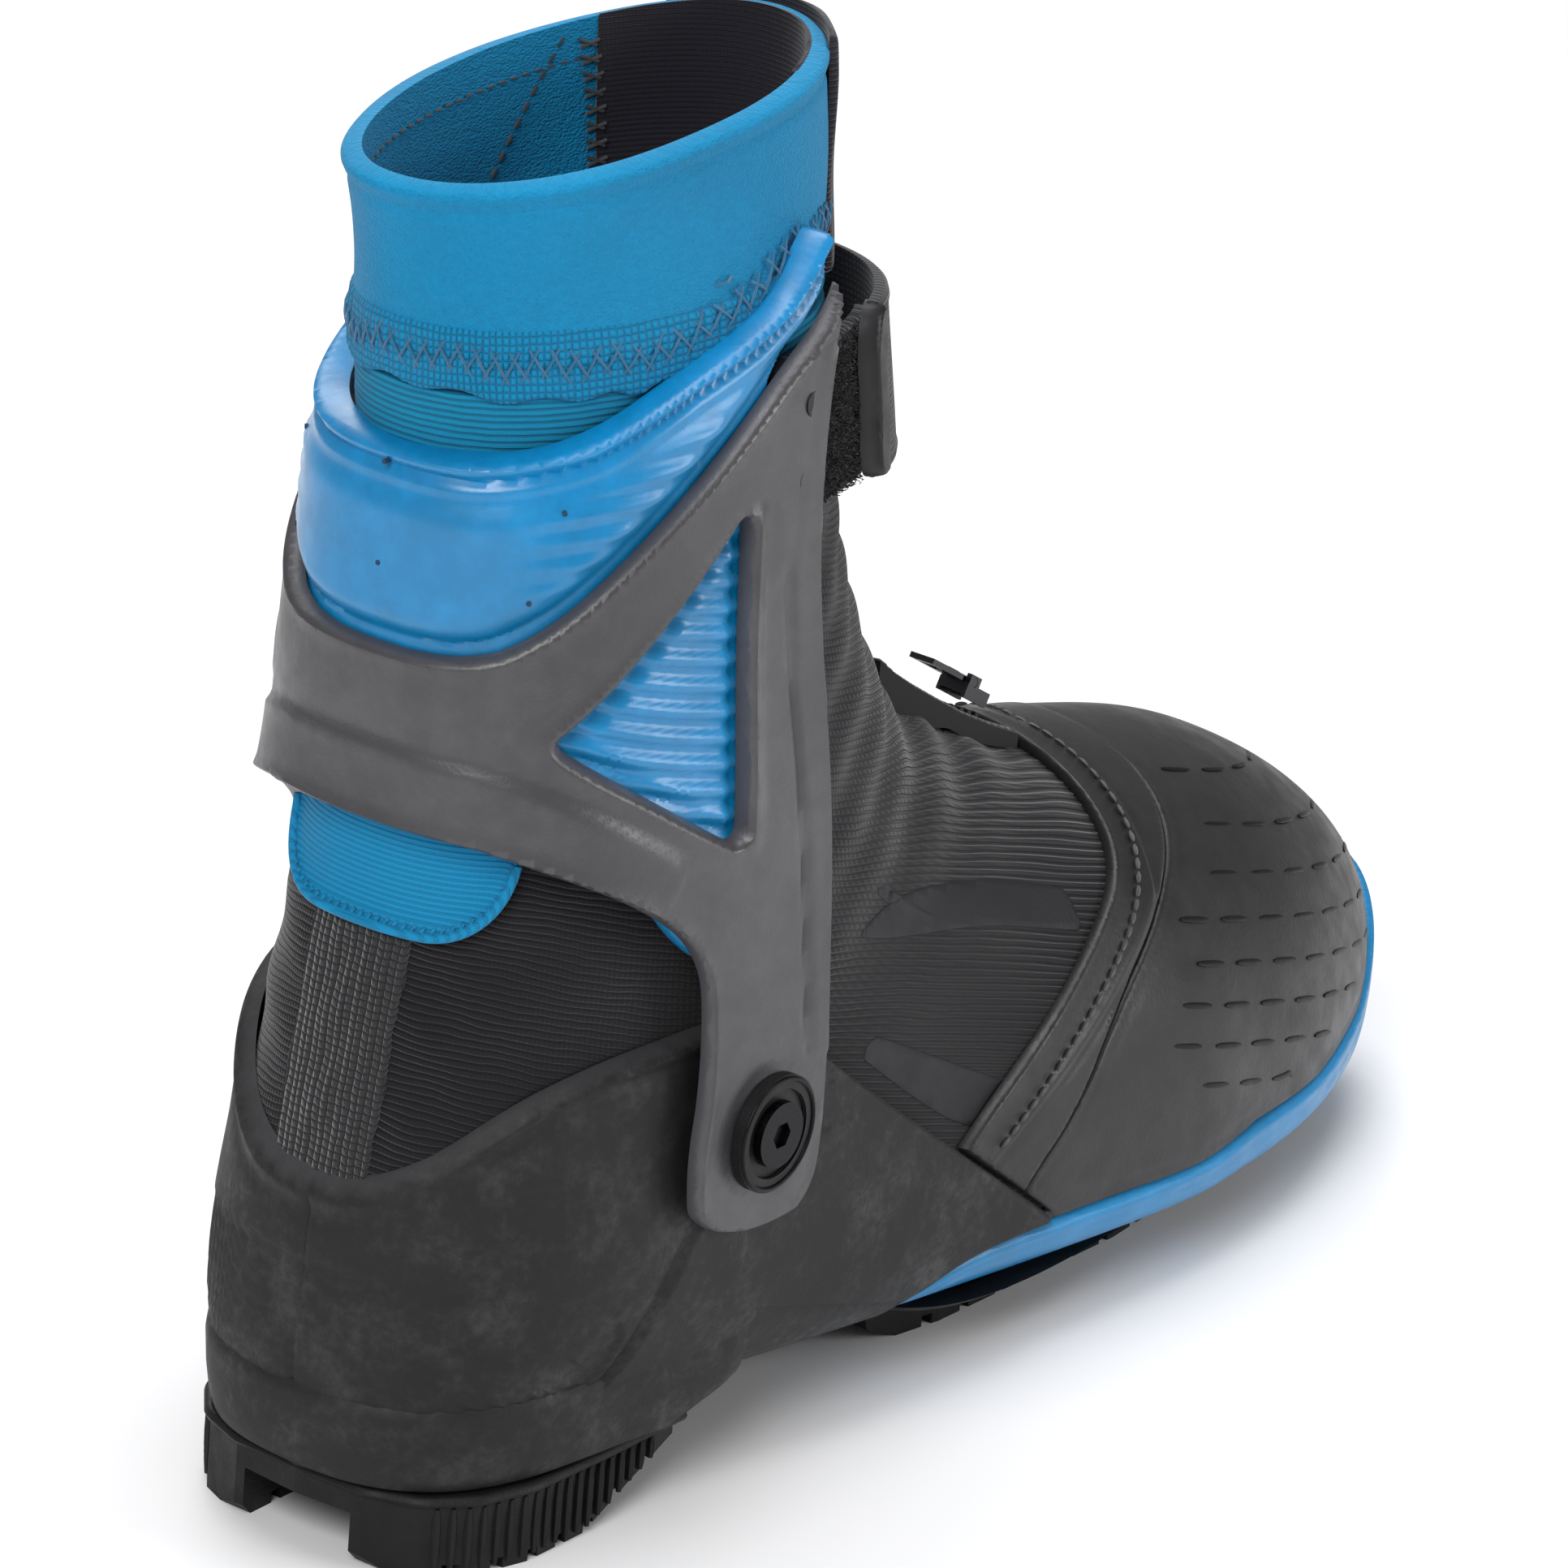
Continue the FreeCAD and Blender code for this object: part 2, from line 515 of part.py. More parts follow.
# ---- collar
COLLAR_LINES = [((-12, 168.4), (60, 171.4), (130, 176.4)), ((-12, 192), (60, 190), (130, 192)),
                ((-12, 200), (60, 198), (130, 200))]


def between(low, high):
    return slab([(x, z + 0.2) for x, z in low] + [(x, z - 0.2) for x, z in reversed(high)])


collar = below_rim(body(0.0).cut(body(-COLLAR_T)))
save("bootie_band", collar.common(between(COLLAR_LINES[0], COLLAR_LINES[1])))
save("collar_knit_band", collar.common(between(COLLAR_LINES[1], COLLAR_LINES[2])))
save("collar_sock", collar.common(between(COLLAR_LINES[2], ((-12, 300), (60, 300), (130, 300)))))
save("collar_front_panel", below_rim(skin(GAP, GAP + 1.3, [(98, 199), (98, 260), (140, 260),
                                                           (140, 199)])))

# ---- strap and its anchors
Z0, Z1 = STRAP_Z[0] / KZ, STRAP_Z[1] / KZ
INNER = -CUFF_T - 0.4


def rivet(side, x, z):
    """A rivet through the cuff, flush with its outer face."""
    return side_rod(side, RIVET_R, RIVET_Y, 60, x, z).common(cuff(0.0))


CORNER = [(75, Z1 - 3), (72, Z1 - 6.5), (72, Z0)]   # clear of the pad's front edge
loop = cuff_skin(INNER - WEB_T, INNER, CORNER + [(112, Z0), (112, Z1 - 3)], -90, 0)
anchor = cuff_skin(INNER - WEB_T, INNER, CORNER + [(99, Z0), (99, Z1 - 3)], 0, 90)
for x, z in RIVETS:
    loop = loop.cut(rod(RIVET_R + 0.05, -60, 60, x, z))
    anchor = anchor.cut(rod(RIVET_R + 0.05, -60, 60, x, z))
save("strap_loop_strip", loop)
save("strap_anchor", anchor)
save("strap_rivets", Part.makeCompound([rivet(s, x, z) for s in (-1, 1) for x, z in RIVETS]))
strap = cuff_skin(STRAP_IN, STRAP_IN + STRAP_T, [(97.6, Z0), (140, Z0), (140, Z1), (97.6, Z1)])
strap = strap.cut(box(0, 101.8 * KX, -90, 0, 0, 300))
ROLL_RUN = ROLL_TOP - ROLL_LOW
strap = strap.fuse(Part.makeCylinder(ROLL_R, ROLL_RUN.Length, ROLL_LOW, ROLL_RUN))
save("strap_band", strap.removeSplitter())
save("strap_tip", cuff_skin(-2.3, 0.3, [(97.4, Z0), (101.5, Z0), (101.5, Z1), (97.4, Z1)], -90, 0))
save("strap_hook_patch", cuff_skin(-3.1, -2.35, [(98.6, Z0 + 2), (116, Z0 + 2), (116, Z1 - 5),
                                               (98.6, Z1 - 5)], -90, -5))

# ---- zip
ax, az = ZIP_LOW
bx, bz = ZIP_TOP
ZLEN = math.hypot(bx - ax, bz - az)
ux, uz = (bx - ax) / ZLEN, (bz - az) / ZLEN
nx, nz = uz, -ux
BED = [(147, 116.3), (152, 112.6), (158, 108.6), (166, 103.8), (174, 99.2), (182, 95.2),
       (191, 91.2)]


def bed_z(x):
    x = x / KX
    for (xa, za), (xb, zb) in zip(BED, BED[1:]):
        if x <= xb:
            return (za + (zb - za) * (x - xa) / (xb - xa)) * KZ
    return BED[-1][1] * KZ


placket = slab(BED + [(191, 60), (147, 80)], ZIP_Y - ZIP_HALF, ZIP_Y + ZIP_HALF)
save("zip_placket", placket.cut(body(GAP)))


def along(length, height, y0, y1, s, lift, on_bed=False):
    """A block lying along the zip, its lower face at a lift above the line."""
    x, z = ax + ux * s, az + uz * s
    if on_bed:
        z = bed_z(x)
    pts = [(x + ux * p + nx * q, z + uz * p + nz * q) for p, q in
           ((0, lift), (length, lift), (length, lift + height), (0, lift + height))]
    return raw_slab(pts, y0, y1)


teeth = []
s = TOOTH_FROM
while s < ZLEN - TOOTH_TO:
    for k, side in enumerate((-1, 1)):
        y0 = ZIP_Y - TOOTH_LAP if side > 0 else ZIP_Y + TOOTH_LAP - TOOTH[1]
        teeth.append(along(TOOTH[0], TOOTH[2], y0, y0 + TOOTH[1],
                           s + k * TOOTH_PITCH / 2, TOOTH_LIFT, True))
    s += TOOTH_PITCH
save("zip_teeth", Part.makeCompound(teeth))
slide = along(SLIDER[0], SLIDER[2], ZIP_Y - SLIDER[1] / 2, ZIP_Y + SLIDER[1] / 2, SLIDER_AT,
              SLIDER_LIFT)
slide = slide.cut(along(30, 1.1, ZIP_Y - 2.2, ZIP_Y + 2.2, -3, 0.5))
HS, HL = SLIDER_AT + SLIDER[0] - 2.0, SLIDER_LIFT + SLIDER[2] - 0.3
hx, hz = ax + ux * HS + nx * (HL + RING_R), az + uz * HS + nz * (HL + RING_R)
for side in (-1, 1):
    ear = ZIP_Y + side * EAR_Y
    slide = slide.fuse(along(3.6, 2.4, ear - EAR_T / 2, ear + EAR_T / 2, HS - 1.8, HL - 0.4))
slide = slide.cut(rod(RING_R + 0.06, ZIP_Y - 5, ZIP_Y + 5, hx, hz))
save("zip_slider", slide.removeSplitter())
pull = rod(RING_R, ZIP_Y - 2.9, ZIP_Y + 2.9, hx, hz)
flat = along(PULL_LEN, PULL_T, ZIP_Y - 1.7, ZIP_Y + 1.7, HS - 0.4, HL + RING_R - PULL_T / 2)
wide = along(PULL_LEN - 4, PULL_T, ZIP_Y - PULL_W / 2, ZIP_Y + PULL_W / 2, HS + 3.6,
             HL + RING_R - PULL_T / 2)
pull = pull.fuse(flat).fuse(wide).removeSplitter()
pull = pull.cut(along(5, 4, ZIP_Y - 1.3, ZIP_Y + 1.3, HS + 7.5, HL - 1))
save("zip_pull", pull)
print("hinge", round(hx - MID_X, 3), round(ZIP_Y - MID_Y, 3), round(hz, 3))
print("zip dir", round(ux, 5), round(uz, 5), "length", round(ZLEN, 2))
print("pivot", PIVOT_X - MID_X, PIVOT_Z)
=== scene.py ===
import math
import random

import bmesh
import bpy
import numpy as np
from bpy.props import FloatProperty, FloatVectorProperty, PointerProperty
from mathutils import Matrix, Vector


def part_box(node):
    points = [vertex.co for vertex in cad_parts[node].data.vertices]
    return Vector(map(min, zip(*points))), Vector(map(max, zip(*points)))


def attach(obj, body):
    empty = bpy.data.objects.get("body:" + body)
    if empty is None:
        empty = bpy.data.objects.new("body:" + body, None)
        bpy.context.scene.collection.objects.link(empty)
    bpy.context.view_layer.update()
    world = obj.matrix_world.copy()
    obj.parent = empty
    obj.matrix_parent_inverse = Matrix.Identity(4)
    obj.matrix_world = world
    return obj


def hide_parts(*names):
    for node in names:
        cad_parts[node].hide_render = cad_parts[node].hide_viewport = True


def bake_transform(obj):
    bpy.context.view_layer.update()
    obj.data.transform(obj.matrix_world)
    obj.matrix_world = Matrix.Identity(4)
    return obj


bl_info = {
    "name": "Cross country boot",
    "version": (1, 0, 0),
    "blender": (4, 5, 0),
    "location": "View3D > Sidebar > Boot",
    "description": "Builds the cloth, moulded shells and hardware finishes of a skate boot on its frame",
    "category": "Add Mesh",
}

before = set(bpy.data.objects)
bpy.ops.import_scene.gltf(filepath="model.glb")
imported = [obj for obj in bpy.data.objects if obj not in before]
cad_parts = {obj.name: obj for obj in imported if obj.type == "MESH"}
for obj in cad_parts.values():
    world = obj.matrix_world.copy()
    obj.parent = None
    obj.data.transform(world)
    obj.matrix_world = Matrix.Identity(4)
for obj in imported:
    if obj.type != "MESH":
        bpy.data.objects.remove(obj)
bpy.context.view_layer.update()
MM = 0.001

# ---------------------------------------------------------------- the boot's drawn surfaces
# Sections are drawn in millimetres, x from the heel and z from the ground, as
# the solids are. The toe bar gives the shift to the frame.
BAR_DRAWN = (280.5, 3.0)


def drawn_origin():
    low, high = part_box("toe_bar")
    middle = (low + high) / 2 / MM
    return np.array([BAR_DRAWN[0] - middle.x, BAR_DRAWN[1] - middle.y, 0.0])


ORIGIN = drawn_origin()

# top x z, bottom x z, outer and inner half width, lean, widest place, exponents
FOOT_ROWS = np.array([
    (295, 34, 295, 14, -9, 16, 5, .60, 2.2, 2.6),
    (290, 48, 291, 12, -16, 26, 6, .64, 2.1, 3.0),
    (279, 59, 280, 11, -24, 34, 7, .66, 2.0, 3.4),
    (262, 69, 263, 10, -33, 40, 8, .70, 1.95, 3.8),
    (240, 77.5, 241, 10, -40.5, 43, 8, .72, 1.9, 4.0),
    (215, 84, 216, 10, -44.5, 45, 8, .73, 1.9, 4.0),
    (190, 90, 190, 11, -46, 44, 7, .74, 1.9, 4.0),
    (166, 100.5, 125, 13, -41, 39, 5, .72, 1.85, 3.6),
    (148, 113.5, 50, 17, -37.5, 37.5, 3, .62, 1.85, 3.0),
    (137, 130, 11, 22, -37, 37, 2, .52, 1.85, 2.7),
    (127, 147, 9, 57, -35, 35, 1, .48, 1.8, 2.5),
    (121, 162, 14, 92, -33, 33, 0, .48, 1.8, 2.4),
    (117, 176, 20, 127, -30, 30, 0, .50, 1.9, 2.3),
    (114, 190, 21, 162, -28, 28, 0, .50, 2.0, 2.2),
    (112, 207, 17, 198, -26.8, 26.5, 0, .50, 2.0, 2.2),
    (111, 223, 14, 217, -26.5, 25.5, 0, .50, 2.0, 2.2),
    (109, 238, 10.5, 229, -27, 25, 0, .50, 2.0, 2.2),
    (108, 252, 8, 243, -27, 25, 0, .50, 2.0, 2.2)])
# height, rear x, front x, half width, exponent
CUFF_ROWS = np.array([
    (45, 2, 130, 45, 2.6), (75, 2, 138, 45, 2.6), (100, 8, 136, 43.5, 2.5),
    (125, 13, 132, 41, 2.5), (150, 13, 128, 38, 2.5), (175, 13.5, 124, 36, 2.5),
    (200, 13, 121, 34, 2.4), (225, 12, 119, 33, 2.4)])
TOE_PUSH = np.array([1.0, .8, .5, .25, 0.0])
TOE_DOME = 2.2
RIM_ROW = 16.0


def smooth_rows(table, u):
    """Rows of a table at fractional places, on a smooth curve through them."""
    last = len(table) - 1
    i = np.clip(np.floor(u).astype(int), 0, last - 1)
    t = (np.clip(u, 0, last) - i)[:, None]
    a, b = table[np.maximum(i - 1, 0)], table[i]
    c, d = table[i + 1], table[np.minimum(i + 2, last)]
    return 0.5 * (2 * b + (c - a) * t + (2 * a - 5 * b + 4 * c - d) * t ** 2
                  + (3 * b - a - 3 * c + d) * t ** 3)


def spow(v, e):
    return np.sign(v) * np.abs(v) ** e


def foot_skin(u, phi, off):
    """Points of the foot and shaft surface: u runs from the toe to the rim, phi
    from the top over the outer side. Below u = 0 a dome closes the toe."""
    u, phi, off = (np.asarray(v, float) for v in np.broadcast_arrays(u, phi, off))
    row = smooth_rows(FOOT_ROWS, u)
    xt, zt, xb, zb, yl, ym, yt, aw, nt, nb = row.T
    push = np.interp(u, np.arange(len(TOE_PUSH)), TOE_PUSH) * off
    xt, xb = xt + push, xb + push
    length = np.hypot(xb - xt, zb - zt)
    ex, ez = (xb - xt) / length, (zb - zt) / length
    c, s = np.cos(phi), np.sin(phi)
    up = c > 0
    n = np.where(up, nt, nb)
    half = np.where(up, aw, 1 - aw) * length + off
    a = aw * length - spow(c, 2 / n) * half
    w = np.where(s > 0, -yl, ym) + off
    share = np.abs(s) ** (2 / n)
    lean = np.where(up, yt * np.abs(c) ** 1.5 * (1 - share), 0)
    points = np.stack([xt + a * ex, np.where(s > 0, -share, share) * w + lean, zt + a * ez], 1)
    dome = np.clip(-u, 0, 1)[:, None]
    middle = np.stack([(xt + xb) / 2, (yl + ym) / 2, (zt + zb) / 2], 1)
    points = middle + (points - middle) * np.sqrt(1 - dome ** 2)
    points[:, 0] += TOE_DOME * dome[:, 0]
    return points


def cuff_skin(z, turn, off):
    """Points of the cuff surface: turn is 0 at the back, positive on the outer side."""
    z, turn, off = (np.asarray(v, float) for v in np.broadcast_arrays(z, turn, off))
    row = smooth_rows(CUFF_ROWS, np.interp(z, CUFF_ROWS[:, 0], np.arange(len(CUFF_ROWS))))
    _, back, front, w, n = row.T
    reach = (front - back) / 2 + off
    x = (back + front) / 2 - reach * spow(np.cos(turn), 2 / n)
    return np.stack([x, -(w + off) * spow(np.sin(turn), 2 / n), z], 1)


# ---------------------------------------------------------------- outlines and fields
def cut_corners(points, times=3, tip=1.2):
    """Rounds an outline. Gentle turns are smoothed over, sharp corners keep their tips."""
    points = np.array(points, float)
    for _ in range(times):
        back, ahead = points - np.roll(points, 1, axis=0), np.roll(points, -1, axis=0) - points
        long_back, long_ahead = np.hypot(*back.T), np.hypot(*ahead.T)
        bend = np.arccos(np.clip((back * ahead).sum(1) / (long_back * long_ahead), -1, 1))
        most = np.where(bend < .7, 1e3, tip)
        share_back = np.minimum(.25, most / long_back)[:, None]
        share_ahead = np.minimum(.25, most / long_ahead)[:, None]
        points = np.stack([points - back * share_back, points + ahead * share_ahead], 1)
        points = points.reshape(-1, 2)
        tip /= 2
    return points


def inside_outline(points, tip=1.2):
    """A field in the side view: distance to a rounded outline, positive inside."""
    ring = cut_corners(points, tip=tip)
    step = np.roll(ring, -1, axis=0) - ring

    def some(p):
        q = p[:, None, (0, 2)] - ring[None]
        along = np.clip((q * step).sum(2) / (step ** 2).sum(1), 0, 1)
        gap = np.hypot(*np.moveaxis(q - along[..., None] * step, 2, 0)).min(1)
        crosses = (q[..., 1] < 0) != (q[..., 1] < step[None, :, 1])
        with np.errstate(divide="ignore", invalid="ignore"):
            reach = q[..., 1] * step[:, 0] / step[:, 1]
        inside = (crosses & (q[..., 0] < reach)).sum(1) % 2 == 1
        return np.where(inside, gap, -gap)

    def field(p):
        return np.concatenate([some(p[k:k + 4000]) for k in range(0, len(p), 4000)])
    return field


def ease(value, low, high):
    t = np.clip((value - low) / (high - low), 0, 1)
    return t * t * (3 - 2 * t)


def to_line(p, a, b):
    """Distance in the side view from points to a segment."""
    a, b = np.array(a, float), np.array(b, float)
    q = p[:, (0, 2)] - a
    along = np.clip(q @ (b - a) / ((b - a) @ (b - a)), 0, 1)
    return np.hypot(*(q - along[:, None] * (b - a)).T)


def every(*fields):
    return lambda p: np.min([f(p) for f in fields], axis=0)


def without(*fields):
    return lambda p: -np.max([f(p) for f in fields], axis=0)


# ---------------------------------------------------------------- meshes
def make_object(name, points, faces, lay=None, merge=True):
    """A mesh from drawn points, with a lay attribute in metres: along, around, to the edge."""
    mesh = bpy.data.meshes.new(name)
    mesh.from_pydata([tuple(p) for p in (np.asarray(points) - ORIGIN) * MM], [], faces)
    if lay is not None:
        field = mesh.attributes.new("lay", "FLOAT_VECTOR", "POINT")
        field.data.foreach_set("vector", (np.asarray(lay) * MM).astype(np.float32).ravel())
    if merge:
        shape = bmesh.new()
        shape.from_mesh(mesh)
        bmesh.ops.remove_doubles(shape, verts=shape.verts, dist=2e-6)
        bmesh.ops.recalc_face_normals(shape, faces=shape.faces)
        shape.to_mesh(mesh)
        shape.free()
    mesh.shade_smooth()
    mesh.set_sharp_from_angle(angle=math.radians(48))
    obj = bpy.data.objects.new(name, mesh)
    bpy.context.scene.collection.objects.link(obj)
    return obj


CLOTH_ROUND = 38  # millimetres of cloth for each radian round the boot


def level_lay(base, uv):
    """Cloth coordinates with courses that lie level."""
    return np.column_stack([base[:, 2], np.abs(uv[:, 1]) * CLOTH_ROUND])


def sloped_lay(base, uv):
    """Cloth coordinates with courses that fall gently towards the toe."""
    return np.column_stack([.958 * (base[:, 2] + .3 * base[:, 0]), np.abs(uv[:, 1]) * CLOTH_ROUND])


class Patch:
    """A grid over a surface, cut along the level lines of a field."""

    def __init__(self, surface, us, vs, field, wrap=True):
        self.surface, self.field = surface, field
        grid_u, grid_v = np.meshgrid(us, vs, indexing="ij")
        self.uv = np.stack([grid_u.ravel(), grid_v.ravel()], 1)
        self.value = field(surface(self.uv[:, 0], self.uv[:, 1], 0.0))
        rows, cols = grid_u.shape
        self.faces = []
        for i in range(rows - 1):
            for j in range(cols if wrap else cols - 1):
                k = (j + 1) % cols
                face = (i * cols + j, (i + 1) * cols + j, (i + 1) * cols + k, i * cols + k)
                if max(self.value[list(face)]) > 0:
                    self.faces.append(face)

    def split(self, level, drop=False):
        """Cuts every face along one level line, and drops what lies below it."""
        below = self.value < level
        found = {}
        for face in self.faces:
            for a, b in zip(face, face[1:] + face[:1]):
                if below[a] != below[b]:
                    found.setdefault((min(a, b), max(a, b)), len(self.uv) + len(found))
        if found:
            pairs = np.array(list(found))
            a, b = self.uv[pairs[:, 0]], self.uv[pairs[:, 1]]
            step = b - a
            step[:, 1] = (step[:, 1] + math.pi) % (2 * math.pi) - math.pi
            va, vb = self.value[pairs[:, 0]], self.value[pairs[:, 1]]
            share = np.clip((level - va) / (vb - va), .02, .98)
            low, high = np.zeros(len(share)), np.ones(len(share))
            low_v, high_v = va.copy(), vb.copy()
            for _ in range(3):
                uv = a + step * share[:, None]
                got = self.field(self.surface(uv[:, 0], uv[:, 1], 0.0))
                same = (got < level) == (low_v < level)
                low, low_v = np.where(same, share, low), np.where(same, got, low_v)
                high, high_v = np.where(same, high, share), np.where(same, high_v, got)
                share = low + (high - low) * np.clip((level - low_v) / (high_v - low_v + 1e-12), .02, .98)
            uv = a + step * share[:, None]
            self.uv = np.concatenate([self.uv, uv])
            self.value = np.concatenate([self.value, np.full(len(uv), level)])
        faces = []
        for face in self.faces:
            sides = {True: [], False: []}
            for a, b in zip(face, face[1:] + face[:1]):
                sides[bool(below[a])].append(a)
                if below[a] != below[b]:
                    new = found[min(a, b), max(a, b)]
                    sides[True].append(new)
                    sides[False].append(new)
            for is_below, part in sides.items():
                if len(part) > 2 and not (drop and is_below):
                    faces.append(tuple(part))
        self.faces = faces

    def solid(self, name, outer, inner, round_at=1.0, lay=None, levels=(.1, .4, 1.0)):
        """A closed shell: outer(points, uv, edge) and inner give offsets from the
        surface, and round_at is how far in from the outline the edge is rounded."""
        self.split(0.0, drop=True)
        for level in levels:
            self.split(level * round_at)
        used = sorted({k for face in self.faces for k in face})
        index = {k: i for i, k in enumerate(used)}
        faces = [tuple(index[k] for k in face) for face in self.faces]
        uv, edge = self.uv[used], self.value[used]
        base = self.surface(uv[:, 0], uv[:, 1], 0.0)
        rise = np.sqrt(1 - (1 - np.clip(edge / round_at, 0, 1)) ** 2)
        lift = outer(base, uv, edge) if callable(outer) else np.full(len(uv), float(outer))
        depth = inner(base, uv, edge) if callable(inner) else np.full(len(uv), float(inner))
        shown = self.surface(uv[:, 0], uv[:, 1], depth + (lift - depth) * np.maximum(rise, .12))
        hidden = self.surface(uv[:, 0], uv[:, 1], depth)
        count = len(used)
        borders = {}
        for face in faces:
            for a, b in zip(face, face[1:] + face[:1]):
                borders[a, b] = borders.get((a, b), 0) + 1
        walls = [(b, a, a + count, b + count) for a, b in borders if (b, a) not in borders]
        faces += [tuple(k + count for k in reversed(face)) for face in faces] + walls
        run = (lay or level_lay)(base, uv)
        run = np.column_stack([run, edge])
        return make_object(name, np.concatenate([shown, hidden]), faces, np.concatenate([run, run]))


def even_turns(surface, row, count):
    """Turns round one section that are evenly far apart on it."""
    fine = np.linspace(-math.pi, math.pi, 2001)
    run = surface(np.full(2001, float(row)), fine, 0.0)
    run = np.concatenate([[0], np.cumsum(np.linalg.norm(np.diff(run, axis=0), axis=1))])
    return np.interp(np.linspace(0, run[-1], count, endpoint=False), run, fine)


def foot_patch(field, u0, u1, pitch, around=None):
    """A patch whose rows and columns are about a pitch apart, in millimetres."""
    fine = np.linspace(u0, u1, 800)
    gaps = [np.linalg.norm(np.diff(foot_skin(fine, turn, 0.0), axis=0), axis=1)
            for turn in (0.0, math.pi / 2, math.pi)]
    run = np.concatenate([[0], np.cumsum(np.max(gaps, axis=0))])
    rows = np.interp(np.linspace(0, run[-1], int(run[-1] / pitch) + 2), run, fine)
    turns = even_turns(foot_skin, (max(u0, 0) + u1) / 2, around or int(250 / pitch))
    return Patch(foot_skin, rows, turns, field)


def cuff_patch(field, z0, z1, pitch, turns=None):
    if turns is None:
        turns = even_turns(cuff_skin, 120, int(370 / pitch))
    return Patch(cuff_skin, np.linspace(z0, z1, int((z1 - z0) / pitch) + 2), turns, field)


def tube(points, radius, sides=8, closed=False, squash=1.0, up=None):
    """Rings and faces of a rod along a line of drawn points."""
    points = np.asarray(points, float)
    if closed:
        ahead = np.roll(points, -1, axis=0) - np.roll(points, 1, axis=0)
    else:
        ahead = np.gradient(points, axis=0)
    ahead /= np.linalg.norm(ahead, axis=1)[:, None] + 1e-12
    guide = np.array([0.0, 0.0, 1.0]) if up is None else np.asarray(up, float)
    guide = np.broadcast_to(guide, points.shape)
    across = np.cross(ahead, guide)
    size = np.linalg.norm(across, axis=1)[:, None]
    across = np.where(size > 1e-3, across / (size + 1e-12), np.array([1.0, 0, 0]))
    normal = np.cross(across, ahead)
    angle = np.linspace(0, 2 * math.pi, sides, endpoint=False)
    radius = np.broadcast_to(radius, len(points))[:, None, None]
    ring = across[:, None] * np.cos(angle)[None, :, None] + normal[:, None] * (
        np.sin(angle)[None, :, None] * squash)
    verts = (points[:, None] + ring * radius).reshape(-1, 3)
    faces = []
    count = len(points)
    for i in range(count if closed else count - 1):
        j = (i + 1) % count
        for k in range(sides):
            m = (k + 1) % sides
            faces.append((i * sides + k, i * sides + m, j * sides + m, j * sides + k))
    if not closed:
        faces += [tuple(range(sides))[::-1], tuple((count - 1) * sides + k for k in range(sides))]
    return verts, faces


def join_parts(name, parts, lay=None):
    verts, faces, start = [], [], 0
    for points, polys in parts:
        verts.append(points)
        faces += [tuple(k + start for k in face) for face in polys]
        start += len(points)
    points = np.concatenate(verts)
    if lay is None:
        lay = points
    return make_object(name, points, faces, lay, merge=False)


_search = {}


def on_surface(surface, x, z, side, off=0.0):
    """The surface points whose side view is at x, z on one side, found by stepping
    from the nearest point of a coarse grid."""
    key = (surface.__name__, side)
    if key not in _search:
        if surface is foot_skin:
            us, vs = np.linspace(0, RIM_ROW, 160), np.linspace(0.02, math.pi - .02, 90)
            vs = vs if side < 0 else 2 * math.pi - vs
        else:
            us, vs = np.linspace(45, 225, 120), np.linspace(0.01, math.pi - .02, 120) * -side
        grid = np.stack(np.meshgrid(us, vs, indexing="ij"), 2).reshape(-1, 2)
        _search[key] = grid, surface(grid[:, 0], grid[:, 1], 0.0)
    grid, cloud = _search[key]
    target = np.stack([np.atleast_1d(x), np.atleast_1d(z)], 1).astype(float)
    near = ((cloud[None][:, :, (0, 2)] - target[:, None]) ** 2).sum(2).argmin(1)
    uv = grid[near].copy()
    for _ in range(6):
        p = surface(uv[:, 0], uv[:, 1], 0.0)
        du = surface(uv[:, 0] + 1e-3, uv[:, 1], 0.0) - p
        dv = surface(uv[:, 0], uv[:, 1] + 1e-3, 0.0) - p
        miss = target - p[:, (0, 2)]
        det = du[:, 0] * dv[:, 2] - du[:, 2] * dv[:, 0]
        det = np.where(np.abs(det) < 1e-9, 1e-9, det)
        su = (miss[:, 0] * dv[:, 2] - miss[:, 1] * dv[:, 0]) / det * 1e-3
        sv = (du[:, 0] * miss[:, 1] - du[:, 2] * miss[:, 0]) / det * 1e-3
        uv += np.clip(np.stack([su, sv], 1), -.25, .25) * .8
    return surface(uv[:, 0], uv[:, 1], off), uv


def resample(points, pitch):
    points = np.asarray(points, float)
    run = np.concatenate([[0], np.cumsum(np.linalg.norm(np.diff(points, axis=0), axis=1))])
    count = max(2, int(run[-1] / pitch) + 1)
    at = np.linspace(0, run[-1], count)
    return np.stack([np.interp(at, run, points[:, k]) for k in range(points.shape[1])], 1)


def side_line(surface, line, side, off, pitch=2.0, times=2):
    """A line drawn in the side view, laid on one side of a surface."""
    line = np.array(line, float)
    for _ in range(times):
        line = np.concatenate([line[:1], np.stack([line[:-1] * .75 + line[1:] * .25,
                               line[:-1] * .25 + line[1:] * .75], 1).reshape(-1, 2), line[-1:]])
    line = resample(line, pitch)
    return on_surface(surface, line[:, 0], line[:, 1], side, off)[0]


def stitch_row(points, length, gap, radius):
    """Separate thread stitches along a line."""
    points = np.asarray(points, float)
    run = np.concatenate([[0], np.cumsum(np.linalg.norm(np.diff(points, axis=0), axis=1))])
    parts = []
    at = 0.0
    while at + length < run[-1]:
        spots = np.linspace(at, at + length, 4)
        part = np.stack([np.interp(spots, run, points[:, k]) for k in range(3)], 1)
        parts.append(tube(part, radius * np.array([.5, 1, 1, .5]), 5))
        at += length + gap
    return parts


